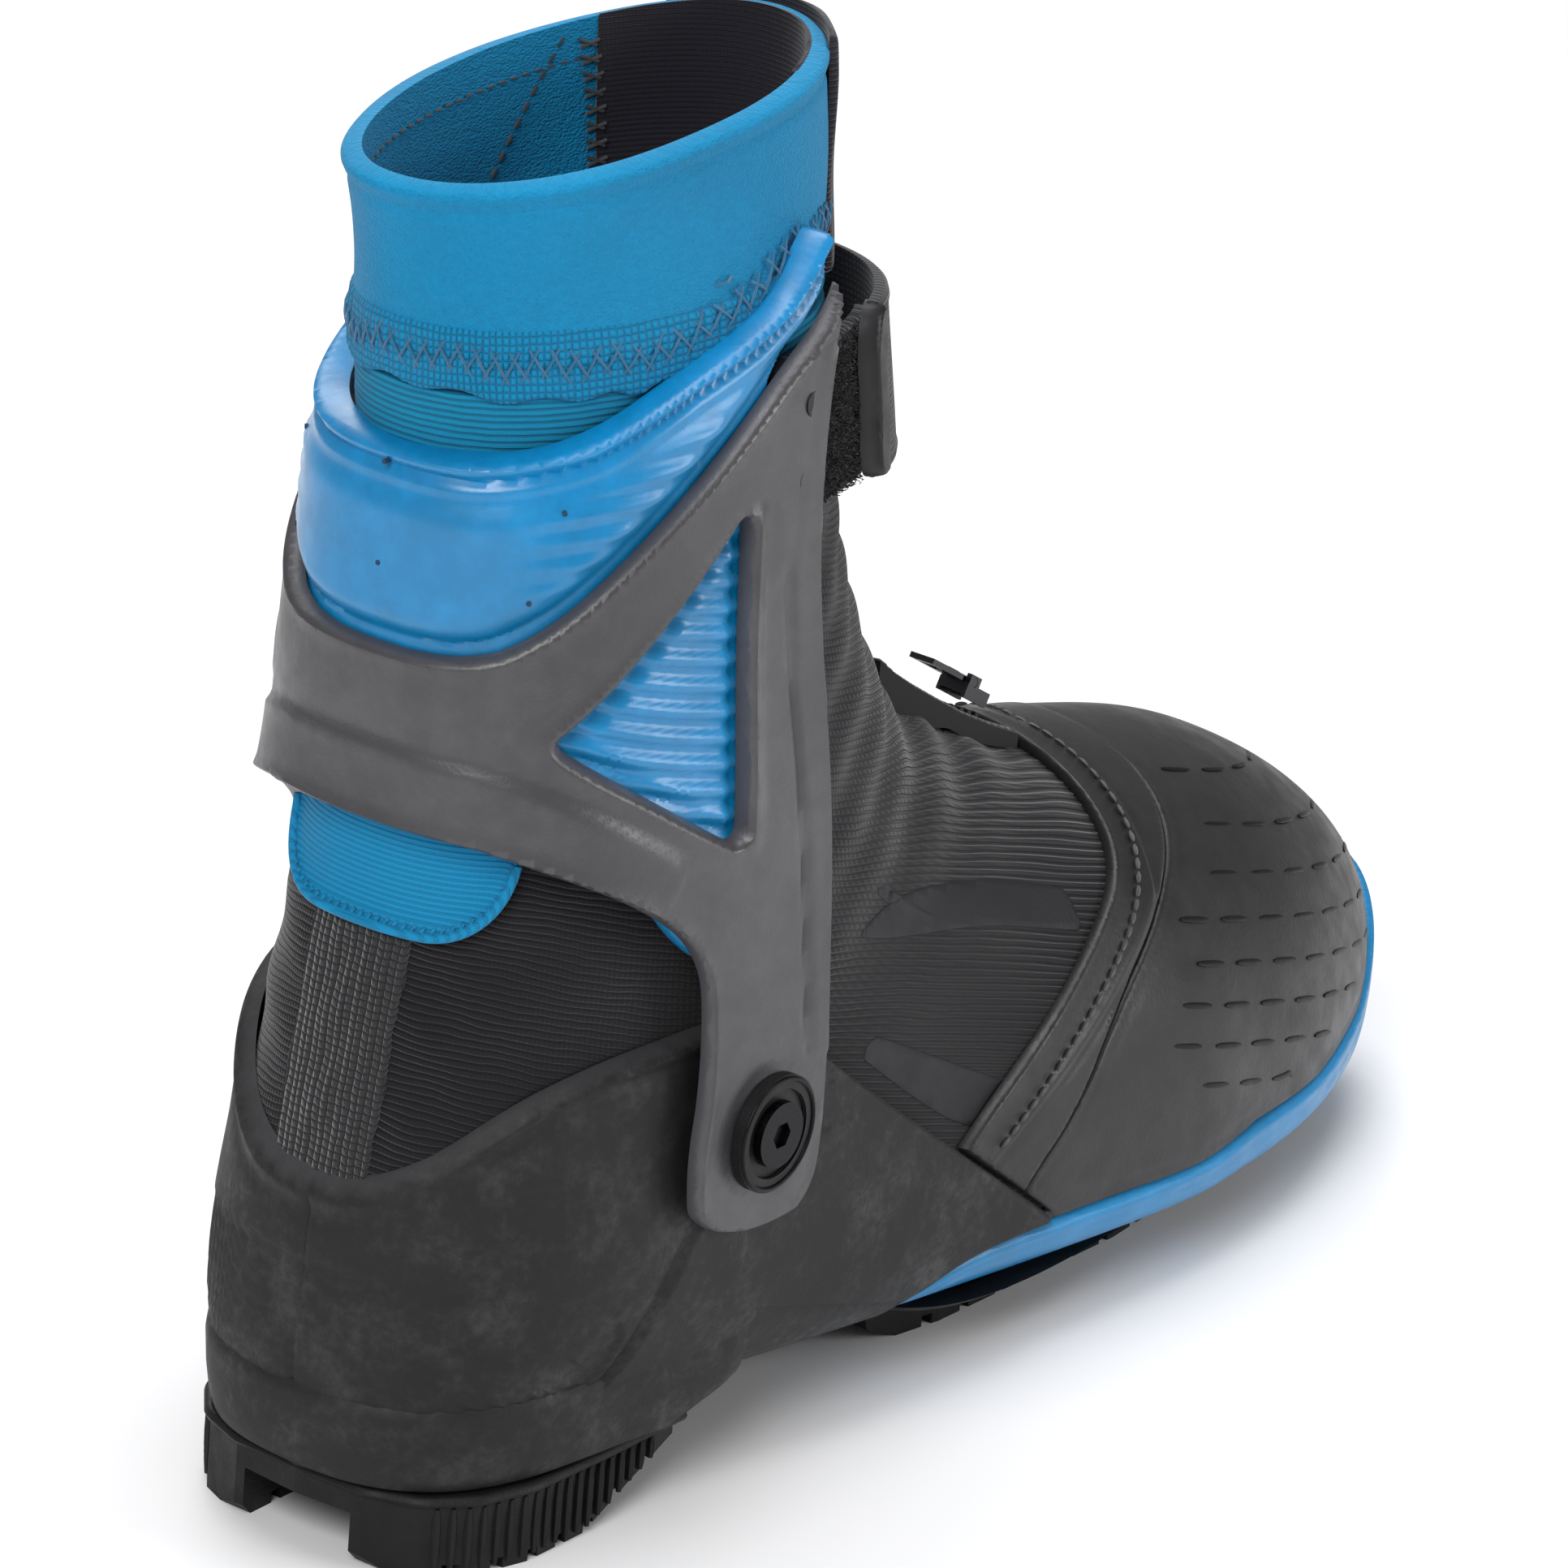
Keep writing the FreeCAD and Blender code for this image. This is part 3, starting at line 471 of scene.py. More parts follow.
# ---------------------------------------------------------------- shader effects
def node(tree, kind, values=None, **settings):
    """Adds a node. Values are set on its inputs, or joined to them if they are sockets."""
    made = tree.nodes.new(kind)
    for name, value in settings.items():
        setattr(made, name, value)
    for name, value in (values or {}).items():
        if isinstance(value, bpy.types.NodeSocket):
            tree.links.new(value, made.inputs[name])
        else:
            made.inputs[name].default_value = value
    return made


def maths(tree, operation, *values, clamp=False):
    made = node(tree, "ShaderNodeMath", dict(enumerate(values)), operation=operation, use_clamp=clamp)
    return made.outputs[0]


def spread(tree, value, low, high, to_low=0.0, to_high=1.0):
    made = node(tree, "ShaderNodeMapRange", {0: value, 1: low, 2: high, 3: to_low, 4: to_high},
                interpolation_type="SMOOTHSTEP")
    return made.outputs[0]


def noise(tree, vector, size, detail=3.0, rough=.55):
    """A noise whose patches are about a size across, in metres."""
    made = node(tree, "ShaderNodeTexNoise", {"Vector": vector, "Scale": size, "Detail": detail,
                                             "Roughness": rough})
    return made.outputs[0]


def per_metre(tree, size):
    return maths(tree, "DIVIDE", 1.0, size)


def in_place(tree):
    return node(tree, "ShaderNodeTexCoord").outputs["Object"]


def cloth_run(tree):
    """Along, around and distance to the edge, from the lay attribute."""
    lay = node(tree, "ShaderNodeAttribute", attribute_name="lay").outputs["Vector"]
    return lay, node(tree, "ShaderNodeSeparateXYZ", {0: lay}).outputs


def mixed(tree, share, a, b):
    made = node(tree, "ShaderNodeMix", {0: share, 6: a, 7: b}, data_type="RGBA")
    return made.outputs[2]


def effect(name, inputs, outputs, build):
    """A node group with named sockets, built once."""
    if name in bpy.data.node_groups:
        return bpy.data.node_groups[name]
    tree = bpy.data.node_groups.new(name, "ShaderNodeTree")
    kinds = {"c": "NodeSocketColor", "f": "NodeSocketFloat"}
    for label, kind, default in inputs:
        made = tree.interface.new_socket(name=label, in_out="INPUT", socket_type=kinds[kind])
        made.default_value = default
    for label, kind in outputs:
        tree.interface.new_socket(name=label, in_out="OUTPUT", socket_type=kinds[kind])
    entry, leave = tree.nodes.new("NodeGroupInput"), tree.nodes.new("NodeGroupOutput")
    for label, value in build(tree, entry.outputs).items():
        tree.links.new(value, leave.inputs[label])
    return tree


def moulded_mottle(tree, given):
    """Cloudy flow marks in moulded plastic, in two sizes."""
    place = in_place(tree)
    wide = noise(tree, place, per_metre(tree, given["Size"]), 5.0, .62)
    fine = noise(tree, place, per_metre(tree, maths(tree, "MULTIPLY", given["Size"], .16)), 4.0, .7)
    share = maths(tree, "ADD", maths(tree, "MULTIPLY", wide, .62), maths(tree, "MULTIPLY", fine, .38))
    share = spread(tree, share, given["Low"], given["High"])
    return {"Color": mixed(tree, share, given["Dark"], given["Light"]), "Cloud": share, "Grain": fine}


def ribbed_cloth(tree, given):
    """Raised courses with small loops along them."""
    lay, run = cloth_run(tree)
    sway = maths(tree, "MULTIPLY", maths(tree, "SUBTRACT", noise(tree, lay, 90.0, 2.0), .5), given["Sway"])
    along = maths(tree, "DIVIDE", maths(tree, "ADD", run[0], sway), given["Pitch"])
    wave = maths(tree, "COSINE", maths(tree, "MULTIPLY", along, 2 * math.pi))
    rib = spread(tree, wave, -.95, .25)
    loops = maths(tree, "SINE", maths(tree, "MULTIPLY", maths(tree, "DIVIDE", run[1], given["Loop"]),
                                      2 * math.pi))
    yarn = maths(tree, "MULTIPLY", maths(tree, "MULTIPLY_ADD", loops, .5, .5), .22)
    fuzz = maths(tree, "MULTIPLY", noise(tree, lay, 2600.0, 3.0), .25)
    height = maths(tree, "ADD", maths(tree, "ADD", rib, maths(tree, "MULTIPLY", yarn, rib)), fuzz)
    return {"Height": height, "Crown": rib}


def grid_knit(tree, given):
    """An open knit of crossing yarns."""
    lay, run = cloth_run(tree)
    wander = maths(tree, "MULTIPLY", maths(tree, "SUBTRACT", noise(tree, lay, 160.0, 2.0), .5), .0007)
    a = maths(tree, "DIVIDE", maths(tree, "ADD", run[0], wander), given["Pitch"])
    b = maths(tree, "DIVIDE", maths(tree, "ADD", run[1], wander), given["Wale"])
    a = maths(tree, "ABSOLUTE", maths(tree, "SINE", maths(tree, "MULTIPLY", a, math.pi)))
    b = maths(tree, "ABSOLUTE", maths(tree, "SINE", maths(tree, "MULTIPLY", b, math.pi)))
    yarn = maths(tree, "POWER", maths(tree, "MULTIPLY", a, b), .6)
    fuzz = maths(tree, "MULTIPLY", noise(tree, lay, 2400.0, 2.0), .3)
    return {"Height": maths(tree, "ADD", yarn, fuzz), "Crown": yarn}


def jersey(tree, given):
    """The soft fine face of a brushed stretch cloth."""
    lay = cloth_run(tree)[0]
    rate = per_metre(tree, given["Size"])
    pile = node(tree, "ShaderNodeTexVoronoi", {"Vector": lay, "Scale": rate}).outputs[0]
    loose = noise(tree, lay, maths(tree, "MULTIPLY", rate, .35), 4.0, .6)
    cloud = noise(tree, lay, 42.0, 3.0)
    height = maths(tree, "ADD", maths(tree, "SUBTRACT", 1.0, pile), loose)
    fleck = maths(tree, "MULTIPLY_ADD", loose, .6, maths(tree, "MULTIPLY", cloud, .4))
    return {"Height": height, "Fleck": fleck}


def edge_wear_and_highlight(tree, given):
    """A paler line along a piece's cut edges: partly rubbed wear, partly painted highlight."""
    run = cloth_run(tree)[1]
    rub = noise(tree, in_place(tree), 260.0, 4.0)
    reach = maths(tree, "MULTIPLY", given["Width"], maths(tree, "MULTIPLY_ADD", rub, 1.6, .2))
    near = spread(tree, maths(tree, "DIVIDE", run[2], reach), 1.0, 0.0)
    return {"Mask": maths(tree, "MULTIPLY", near, given["Share"])}


def lint(tree, given):
    """Small pale specks of dust and lint, far apart."""
    place = in_place(tree)
    cells = node(tree, "ShaderNodeTexVoronoi", {"Vector": place, "Scale": per_metre(tree, given["Apart"])})
    chance = node(tree, "ShaderNodeSeparateColor", {0: cells.outputs["Color"]}).outputs[0]
    dot = spread(tree, maths(tree, "MULTIPLY", cells.outputs["Distance"], given["Apart"]),
                 given["Size"], 0.0)
    return {"Mask": maths(tree, "MULTIPLY", dot, maths(tree, "GREATER_THAN", chance, .6))}


def fine_grain(tree, given):
    """Pebbled skin of coated cloth, rubber or moulded plastic."""
    place = in_place(tree)
    rate = per_metre(tree, given["Size"])
    cells = node(tree, "ShaderNodeTexVoronoi", {"Vector": place, "Scale": rate}, feature="SMOOTH_F1")
    swell = noise(tree, place, maths(tree, "MULTIPLY", rate, .12), 3.0)
    return {"Height": maths(tree, "MULTIPLY_ADD", swell, .6, cells.outputs[0]), "Swell": swell}


def brushed(tree, given):
    """Fine turning marks on metal."""
    place = in_place(tree)
    fine = noise(tree, place, per_metre(tree, given["Size"]), 6.0, .75)
    return {"Height": fine, "Shade": spread(tree, fine, .3, .7)}


EFFECTS = {
    "Boot Moulded Mottle": (moulded_mottle,
                            [("Dark", "c", (.02, .02, .02, 1)), ("Light", "c", (.1, .1, .1, 1)),
                             ("Size", "f", .02), ("Low", "f", .35), ("High", "f", .65)],
                            [("Color", "c"), ("Cloud", "f"), ("Grain", "f")]),
    "Boot Ribbed Cloth": (ribbed_cloth, [("Pitch", "f", .0012), ("Loop", "f", .0009), ("Sway", "f", .0)],
                          [("Height", "f"), ("Crown", "f")]),
    "Boot Grid Knit": (grid_knit, [("Pitch", "f", .0012), ("Wale", "f", .0012)],
                       [("Height", "f"), ("Crown", "f")]),
    "Boot Jersey": (jersey, [("Size", "f", .0006)], [("Height", "f"), ("Fleck", "f")]),
    # Paler cut edges: partly rubbed wear, partly painted highlight.
    "Boot Edge Wear And Highlight": (edge_wear_and_highlight, [("Width", "f", .0012), ("Share", "f", .5)], [("Mask", "f")]),
    "Boot Lint": (lint, [("Apart", "f", .012), ("Size", "f", .00016)], [("Mask", "f")]),
    "Boot Fine Grain": (fine_grain, [("Size", "f", .0006)], [("Height", "f"), ("Swell", "f")]),
    "Boot Brushed": (brushed, [("Size", "f", .0008)], [("Height", "f"), ("Shade", "f")]),
}


def use(tree, name, **values):
    """Places an effect in a material with its own values."""
    build, inputs, outputs = EFFECTS[name]
    made = node(tree, "ShaderNodeGroup", node_tree=effect(name, inputs, outputs, build))
    for label, value in values.items():
        made.inputs[label].default_value = value
    return made.outputs


def shaded(colour, factor):
    return (*[min(1.0, c * factor) for c in colour[:3]], 1.0)


def start_material(name, **plain):
    material = bpy.data.materials.new(name)
    material.use_nodes = True
    tree = material.node_tree
    shader = tree.nodes["Principled BSDF"]
    for socket, value in plain.items():
        shader.inputs[socket.replace("_", " ")].default_value = value
    return material, tree, shader.inputs


def bump(tree, sockets, height, depth, strength=1.0):
    made = node(tree, "ShaderNodeBump", {"Strength": strength, "Distance": depth, "Height": height})
    tree.links.new(made.outputs[0], sockets["Normal"])


def join(tree, value, socket):
    tree.links.new(value, socket)


def moulded(name, dark, light, size=.016, rough=(.36, .58), wear_and_highlight=.5, band=(.36, .66), grain=.0005,
            depth=.00005, specular=.5):
    """Moulded plastic: cloudy, satin, with paler edges that are partly rubbed wear and partly painted
    highlight, and dust.
    """
    material, tree, sockets = start_material(name, Specular_IOR_Level=specular)
    mottle = use(tree, "Boot Moulded Mottle", Dark=(*dark, 1), Light=(*light, 1), Size=size,
                 Low=band[0], High=band[1])
    edge = use(tree, "Boot Edge Wear And Highlight", Width=.0011, Share=wear_and_highlight)["Mask"]
    dust = use(tree, "Boot Lint", Apart=.011, Size=.00013)["Mask"]
    # Paler cut edges: partly rubbed wear, partly painted highlight.
    colour = mixed(tree, edge, mottle["Color"], shaded(light, 1.7))
    join(tree, mixed(tree, dust, colour, shaded(light, 3.0)), sockets["Base Color"])
    join(tree, spread(tree, mottle["Cloud"], 0.0, 1.0, rough[1], rough[0]), sockets["Roughness"])
    skin = use(tree, "Boot Fine Grain", Size=grain)["Height"]
    bump(tree, sockets, skin, depth, .6)
    return material


def cloth(name, colour, kind, depth, low=.45, high=1.15, rough=.85, sheen=.25, dust=True, **values):
    """Knitted cloth: yarn relief, painted shade between the yarns and painted light on their crowns (random
    flecks on jersey), with a little lint.
    """
    material, tree, sockets = start_material(name, Roughness=rough, Sheen_Weight=sheen,
                                             Sheen_Roughness=.4, Specular_IOR_Level=.25)
    made = use(tree, kind, **values)
    # Painted shade and light: for ribbed and grid knits the colour is darker between the yarns and lighter
    # on their crowns, following the relief; for jersey it follows random flecks.
    painted_yarn_shade = spread(tree, made[1], 0.0, 1.0)
    wide = use(tree, "Boot Moulded Mottle", Dark=shaded(colour, low), Light=shaded(colour, high),
               Size=.03, Low=.1, High=.9)
    base = mixed(tree, painted_yarn_shade, shaded(colour, low), shaded(colour, high))
    base = mixed(tree, .25, base, wide["Color"])
    if dust:
        specks = use(tree, "Boot Lint", Apart=.013, Size=.00014)["Mask"]
        base = mixed(tree, specks, base, shaded(tuple(c + .12 for c in colour[:3]), 1.6))
    join(tree, base, sockets["Base Color"])
    bump(tree, sockets, made["Height"], depth)
    return material


def coated(name, colour, rough=.45, grain=.0009, depth=.00006, wear_and_highlight=.0, lift=1.35, coat=.0,
           specular=.4):
    """Coated cloth or rubber: pebbled skin, soft cloudy gloss."""
    material, tree, sockets = start_material(name, Coat_Weight=coat, Coat_Roughness=.35,
                                             Specular_IOR_Level=specular)
    skin = use(tree, "Boot Fine Grain", Size=grain)
    cloud = use(tree, "Boot Moulded Mottle", Dark=shaded(colour, .82), Light=shaded(colour, lift),
                Size=.03, Low=.3, High=.7)
    edge = use(tree, "Boot Edge Wear And Highlight", Width=.0009, Share=wear_and_highlight)["Mask"]
    # Paler cut edges: partly rubbed wear, partly painted highlight.
    join(tree, mixed(tree, edge, cloud["Color"], shaded(tuple(c + .05 for c in colour[:3]), 2.2)),
         sockets["Base Color"])
    join(tree, spread(tree, skin["Swell"], .25, .75, rough - .06, rough + .08), sockets["Roughness"])
    bump(tree, sockets, skin["Height"], depth, .7)
    return material


def metal(name, colour, rough, grain=.0006):
    material, tree, sockets = start_material(name, Metallic=1.0)
    marks = use(tree, "Boot Brushed", Size=grain)
    join(tree, mixed(tree, marks["Shade"], shaded(colour, .8), shaded(colour, 1.1)), sockets["Base Color"])
    join(tree, spread(tree, marks["Shade"], 0.0, 1.0, rough - .08, rough + .1), sockets["Roughness"])
    bump(tree, sockets, marks["Height"], .00002, .5)
    return material


def two_tone(name, dark, light, rough, sheen=.3):
    """Thread, or another small thing, in two close tones."""
    material, tree, sockets = start_material(name, Roughness=rough, Sheen_Weight=sheen)
    shade = use(tree, "Boot Fine Grain", Size=.0004)["Swell"]
    join(tree, mixed(tree, shade, (*dark, 1), (*light, 1)), sockets["Base Color"])
    return material


def finish_piece(obj, material, rides=None, stands_for=(), blend=None):
    """Gives a piece its material and slot, hides the solids that it stands for, and gives it a body; given
    blend, it gets no body and its place is baked in.
    """
    obj.data.materials.clear()
    obj.data.materials.append(material)
    if stands_for:
        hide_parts(*stands_for)
    if blend:
        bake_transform(obj)
    else:
        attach(obj, rides)
    return obj


def dress_node(name, material):
    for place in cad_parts[name].material_slots:
        place.material = material


# ---------------------------------------------------------------- outlines, side view, millimetres
CHASSIS = [(-8, 59), (3, 59), (8, 64), (14, 71.5), (24, 81), (36, 85.5), (50, 87), (64, 87),
           (76, 83.5), (86, 76), (120, 50), (155, 24.8), (133, 24.8), (123, 20.8), (118.5, 19),
           (118.5, -5), (-8, -5)]
RAND_TOP = [(119.2, 16), (120, 18.5), (123.2, 20.4), (133, 24.4), (156, 24.0), (194, 22.5),
            (214, 24), (240, 23), (268, 25), (280, 30), (288, 37), (293, 43), (306, 48)]
RAND_LOW = [(306, 4.6), (290, 8), (280, 11.6), (150, 12), (123, 13)]
BAND_REAR = [(112, 28), (129, 45.6), (153, 58), (171, 68), (186, 75.5), (193, 84.5), (195, 100)]
BAND_FRONT = [(219, 100), (216, 80), (208, 74), (190, 67), (172, 57), (158, 42), (146, 33), (136, 20)]
CUFF_SIDE = [(-12, 125), (14, 125), (21, 122), (32, 116.5), (40, 111.5), (47, 106), (51, 100),
             (52, 94), (51.5, 80), (49.5, 68), (50.5, 58), (56, 53.5), (66, 51), (77, 51),
             (81.5, 55), (83, 62), (83, 94), (82, 142), (79.5, 170), (83, 190), (90.5, 207.5),
             (88.5, 203), (83, 198.5), (74, 194.4), (62.4, 187), (48, 178), (36, 169.5),
             (24.5, 160), (14.6, 152.6), (-12, 151.5)]
CUFF_BOWL = CUFF_SIDE[20:] + [(-12, 240), (95, 240)]
STEP_ZONE = [(-12, 121), (14, 121), (21, 118), (40, 108), (48, 119), (30, 131), (14, 139), (-12, 139)]
WINDOW = [(25, 141), (30, 136.5), (57.5, 119.5), (60, 121), (62, 171), (60, 172.5), (57, 170)]
PAD_SIDE = [(-12, 183.5), (15.5, 185.5), (30, 189), (49, 196.5), (65, 200.6), (75, 204.2),
            (85.5, 213), (88, 211.5), (84, 203.5), (70, 191.5), (68, 170), (66, 108), (61, 103),
            (54, 99), (47, 104), (40, 109.2), (30, 115), (21, 119.2), (-12, 121.5)]
TWILL_ZONE = [(-6, 53), (6, 53.5), (24, 51), (42.5, 44), (44.5, 38), (36, 23), (24, 9), (-6, 9)]
COLLAR_LINES = [((-12, 168.4), (60, 171.4), (130, 176.4)), ((-12, 192), (60, 190), (130, 192)),
                ((-12, 200), (60, 198), (130, 200))]
PIVOT = (67.0, 69.0)
SEAT_Z = 14.5
HEEL_EDGE = [(9, 0), (9.4, 13), (13, 22), (20, 28), (30, 31), (48, 31.8), (68, 32)]
WALL_TOP, WALL_MIDDLE = 29.5, 44
CLOTH_LAP = 6.0
PILE_FIBRES = 1500
ANKLE_BEND = ((0, 0, .095), (0, 0, .150))


def over_line(line, lift=0.0):
    """A field: height over a line in the side view."""
    xs, zs = np.array(line, float).T
    return lambda p: p[:, 2] - np.interp(p[:, 0], xs, zs) - lift


def under_line(line, lift=0.0):
    return lambda p: -over_line(line, lift)(p)


def under_rim(p):
    """A field: depth below the collar's rim, which rises towards the front."""
    return (228.3 + .0891 * p[:, 0] - p[:, 2]) / 1.004


def round_hole(x, z, radius):
    return lambda p: np.hypot(p[:, 0] - x, p[:, 2] - z) - radius


def peak(value, width):
    """A smooth peak, 1 high, where a value is nought."""
    return np.exp(-(value / width) ** 2)


def swell(p, *waves):
    """Slow waves over a surface; each is a height, a direction, a length and a start."""
    total = np.zeros(len(p))
    for height, across, length, start in waves:
        total += height * np.sin(2 * math.pi * (p @ np.array(across, float)) / length + start)
    return total


# ---------------------------------------------------------------- settings
class BootColours(bpy.types.PropertyGroup):
    """Colours a user would change."""
    collar: FloatVectorProperty(name="Collar", description="Neoprene sock collar", subtype="COLOR",
                                size=3, default=(.0008, .215, .43))
    rib_band: FloatVectorProperty(name="Rib band", description="Ribbed band under the collar",
                                  subtype="COLOR", size=3, default=(.0015, .17, .31))
    pad: FloatVectorProperty(name="Cuff pad", description="Moulded pad in the cuff", subtype="COLOR",
                             size=3, default=(.002, .19, .43))
    rand: FloatVectorProperty(name="Rand", description="Rubber rand round the toe", subtype="COLOR",
                              size=3, default=(.0025, .185, .42))
    cuff: FloatVectorProperty(name="Cuff", description="Dark tone of the cuff", subtype="COLOR",
                              size=3, default=(.026, .0248, .0278))
    chassis: FloatVectorProperty(name="Chassis", description="Dark tone of the heel chassis",
                                 subtype="COLOR", size=3, default=(.0072, .007, .0075))
    upper: FloatVectorProperty(name="Upper", description="Ribbed cloth of the upper", subtype="COLOR",
                               size=3, default=(.0055, .0052, .0070))
    toe: FloatVectorProperty(name="Toe cap", description="Coated toe cap", subtype="COLOR", size=3,
                             default=(.0125, .0120, .0125))


class BootSizes(bpy.types.PropertyGroup):
    """Fine sizes a user would change."""
    rib_pitch: FloatProperty(name="Rib pitch", description="Spacing of the upper's ribs",
                             default=.00118, unit="LENGTH", precision=5)
    mesh_pitch: FloatProperty(name="Mesh pitch", description="Spacing of the points on shells",
                              default=.0016, unit="LENGTH", precision=5)
    dash_length: FloatProperty(name="Dash length", description="Length of the toe cap's dashes",
                               default=.0086, unit="LENGTH", precision=5)
    dash_rows: FloatProperty(name="Dash rows", description="Distance between rows of dashes",
                             default=.0068, unit="LENGTH", precision=5)


def colours():
    return bpy.context.scene.boot_colours


def sizes():
    return bpy.context.scene.boot_sizes


def pitch():
    return sizes().mesh_pitch / MM


# ---------------------------------------------------------------- operators
CAMERA_AIM = (122.69, -3.40, 100.62)
CAMERA_SWING, CAMERA_RISE, CAMERA_ROLL = math.radians(35.0), math.radians(22.0), .08438
CAMERA_AWAY = 1348.93
CAMERA_LENS = 186.3
LIGHTS = [("key", (-1.15, -.35, 1.0), .8, 15.0), ("top", (.1, .1, 1.5), 1.0, 13.0),
          ("side", (.65, -1.25, .5), .7, 8.0), ("back", (.9, 1.1, .9), 1.0, 9.0)]


WORLD_STRENGTH = .27
FLOOR_HALF = 6.0


def in_frame(point):
    return Vector((np.array(point, float) - ORIGIN) * MM)


class BOOT_OT_stage(bpy.types.Operator):
    """Sets the floor, the soft studio lights and the camera"""
    bl_idname = "boot.stage"
    bl_label = "Stage"

    def execute(self, context):
        scene = context.scene
        scene.view_settings.view_transform = "Standard"
        mesh = bpy.data.meshes.new("floor")
        corners = [(-1, -1), (1, -1), (1, 1), (-1, 1)]
        mesh.from_pydata([(x * FLOOR_HALF, y * FLOOR_HALF, 0) for x, y in corners], [], [(0, 1, 2, 3)])
        floor = bpy.data.objects.new("floor", mesh)
        scene.collection.objects.link(floor)
        floor_material, _, sockets = start_material("pale floor", Roughness=.85)
        sockets["Base Color"].default_value = (.86, .86, .87, 1)
        floor.data.materials.append(floor_material)
        world = bpy.data.worlds.new("studio")
        world.use_nodes = True
        background = world.node_tree.nodes["Background"].inputs
        background["Color"].default_value = (1, 1, 1, 1)
        background["Strength"].default_value = WORLD_STRENGTH
        scene.world = world
        aim = in_frame(CAMERA_AIM)
        for name, place, width, power in LIGHTS:
            light = bpy.data.lights.new(name, "AREA")
            light.shape, light.size, light.energy = "DISK", width, power
            lamp = bpy.data.objects.new(name, light)
            scene.collection.objects.link(lamp)
            lamp.location = place
            lamp.rotation_euler = (aim - Vector(place)).to_track_quat("-Z", "Y").to_euler()
        look = Vector((math.cos(CAMERA_RISE) * math.cos(CAMERA_SWING),
                       math.cos(CAMERA_RISE) * math.sin(CAMERA_SWING), -math.sin(CAMERA_RISE)))
        right = look.cross(Vector((0, 0, 1))).normalized()
        up = right.cross(look)
        turn = Matrix((right, up, -look)).transposed().to_4x4() @ Matrix.Rotation(CAMERA_ROLL, 4, "Z")
        camera = bpy.data.objects.new("camera", bpy.data.cameras.new("camera"))
        camera.data.lens, camera.data.sensor_width = CAMERA_LENS, 36.0
        camera.data.clip_start, camera.data.clip_end = .05, 30
        camera.matrix_world = Matrix.Translation(aim - look * CAMERA_AWAY * MM) @ turn
        scene.collection.objects.link(camera)
        scene.camera = camera
        return {"FINISHED"}


class BOOT_OT_upper(bpy.types.Operator):
    """Makes the ribbed cloth upper with its bend wrinkles and tonal films"""
    bl_idname = "boot.upper"
    bl_label = "Ribbed upper"

    def execute(self, context):
        ribs = cloth("ribbed upper", colours().upper, "Boot Ribbed Cloth", .00028, low=.35, high=1.5,
                     Pitch=sizes().rib_pitch, Loop=.0008, Sway=.0014)
        field = under_line(COLLAR_LINES[0], CLOTH_LAP)

        def outer(p, uv, edge):
            bend = ease(p[:, 2], 78, 104) * (1 - ease(p[:, 2], 150, 176)) * ease(p[:, 0], 62, 110)
            front = bend * (.35 + .65 * peak(p[:, 1], 30))
            falling = p[:, 2] * .92 - p[:, 0] * .39 + 1.6 * np.sin(p[:, 1] * .11)
            rising = p[:, 2] * .7 + p[:, 0] * .72 + .08 * p[:, 1]
            folds = np.sin(falling * 2 * math.pi / 13.5) + .6 * np.sin(rising * 2 * math.pi / 21 + 1)
            heel = ease(60 - p[:, 0], 0, 35) * ease(p[:, 2], 58, 75) * (1 - ease(p[:, 2], 104, 120))
            dents = swell(p, (.28, (0, .5, .86), 17, .6), (.2, (.3, -.6, .7), 11, 2.0))
            loose = swell(p, (.16, (.8, .3, .5), 34, 0), (.12, (-.3, .6, .8), 23, 1.3))
            return .75 * front * folds + heel * dents + loose * ease(p[:, 2], 30, 60) - .1
        patch = foot_patch(field, -.985, 14.6, pitch() * 1.15, 190)
        piece = patch.solid("ribbed_upper", outer, -2.0, .8, sloped_lay)
        finish_piece(piece, ribs, blend=("boot", "cuff", *ANKLE_BEND),
                     stands_for=("upper_foot", "ankle_flex_fabric", "upper_shaft"))
        film = coated("tonal film", shaded(colours().upper, 1.7), .5, .0006, .00004, lift=1.2, specular=.3)
        films = {
            "upper_film_top": [(106, 87.2), (121, 89.5), (150, 83.5), (172, 76), (172, 69), (146, 77),
                               (116, 83.2)],
            "upper_film_low": [(103.6, 67.6), (108.8, 69.9), (146, 50.5), (142, 44), (128.5, 48)],
            "upper_film_slash": [(130, 80.9), (137, 79.2), (118, 92), (112, 93)],
        }
        for name, outline in films.items():
            for side, mark in ((-1, "outer"), (1, "inner")):
                field = every(inside_outline(outline), lambda p, side=side: side * p[:, 1] - 5)
                patch = foot_patch(field, 5.6, 10.2, pitch())
                piece = patch.solid(f"{name}_{mark}",
                                    lambda p, uv, edge: .16 + outer(p, uv, edge),
                                    lambda p, uv, edge: outer(p, uv, edge) - .3, .25, sloped_lay)
                finish_piece(piece, film, blend=("boot", "cuff", *ANKLE_BEND))
        return {"FINISHED"}


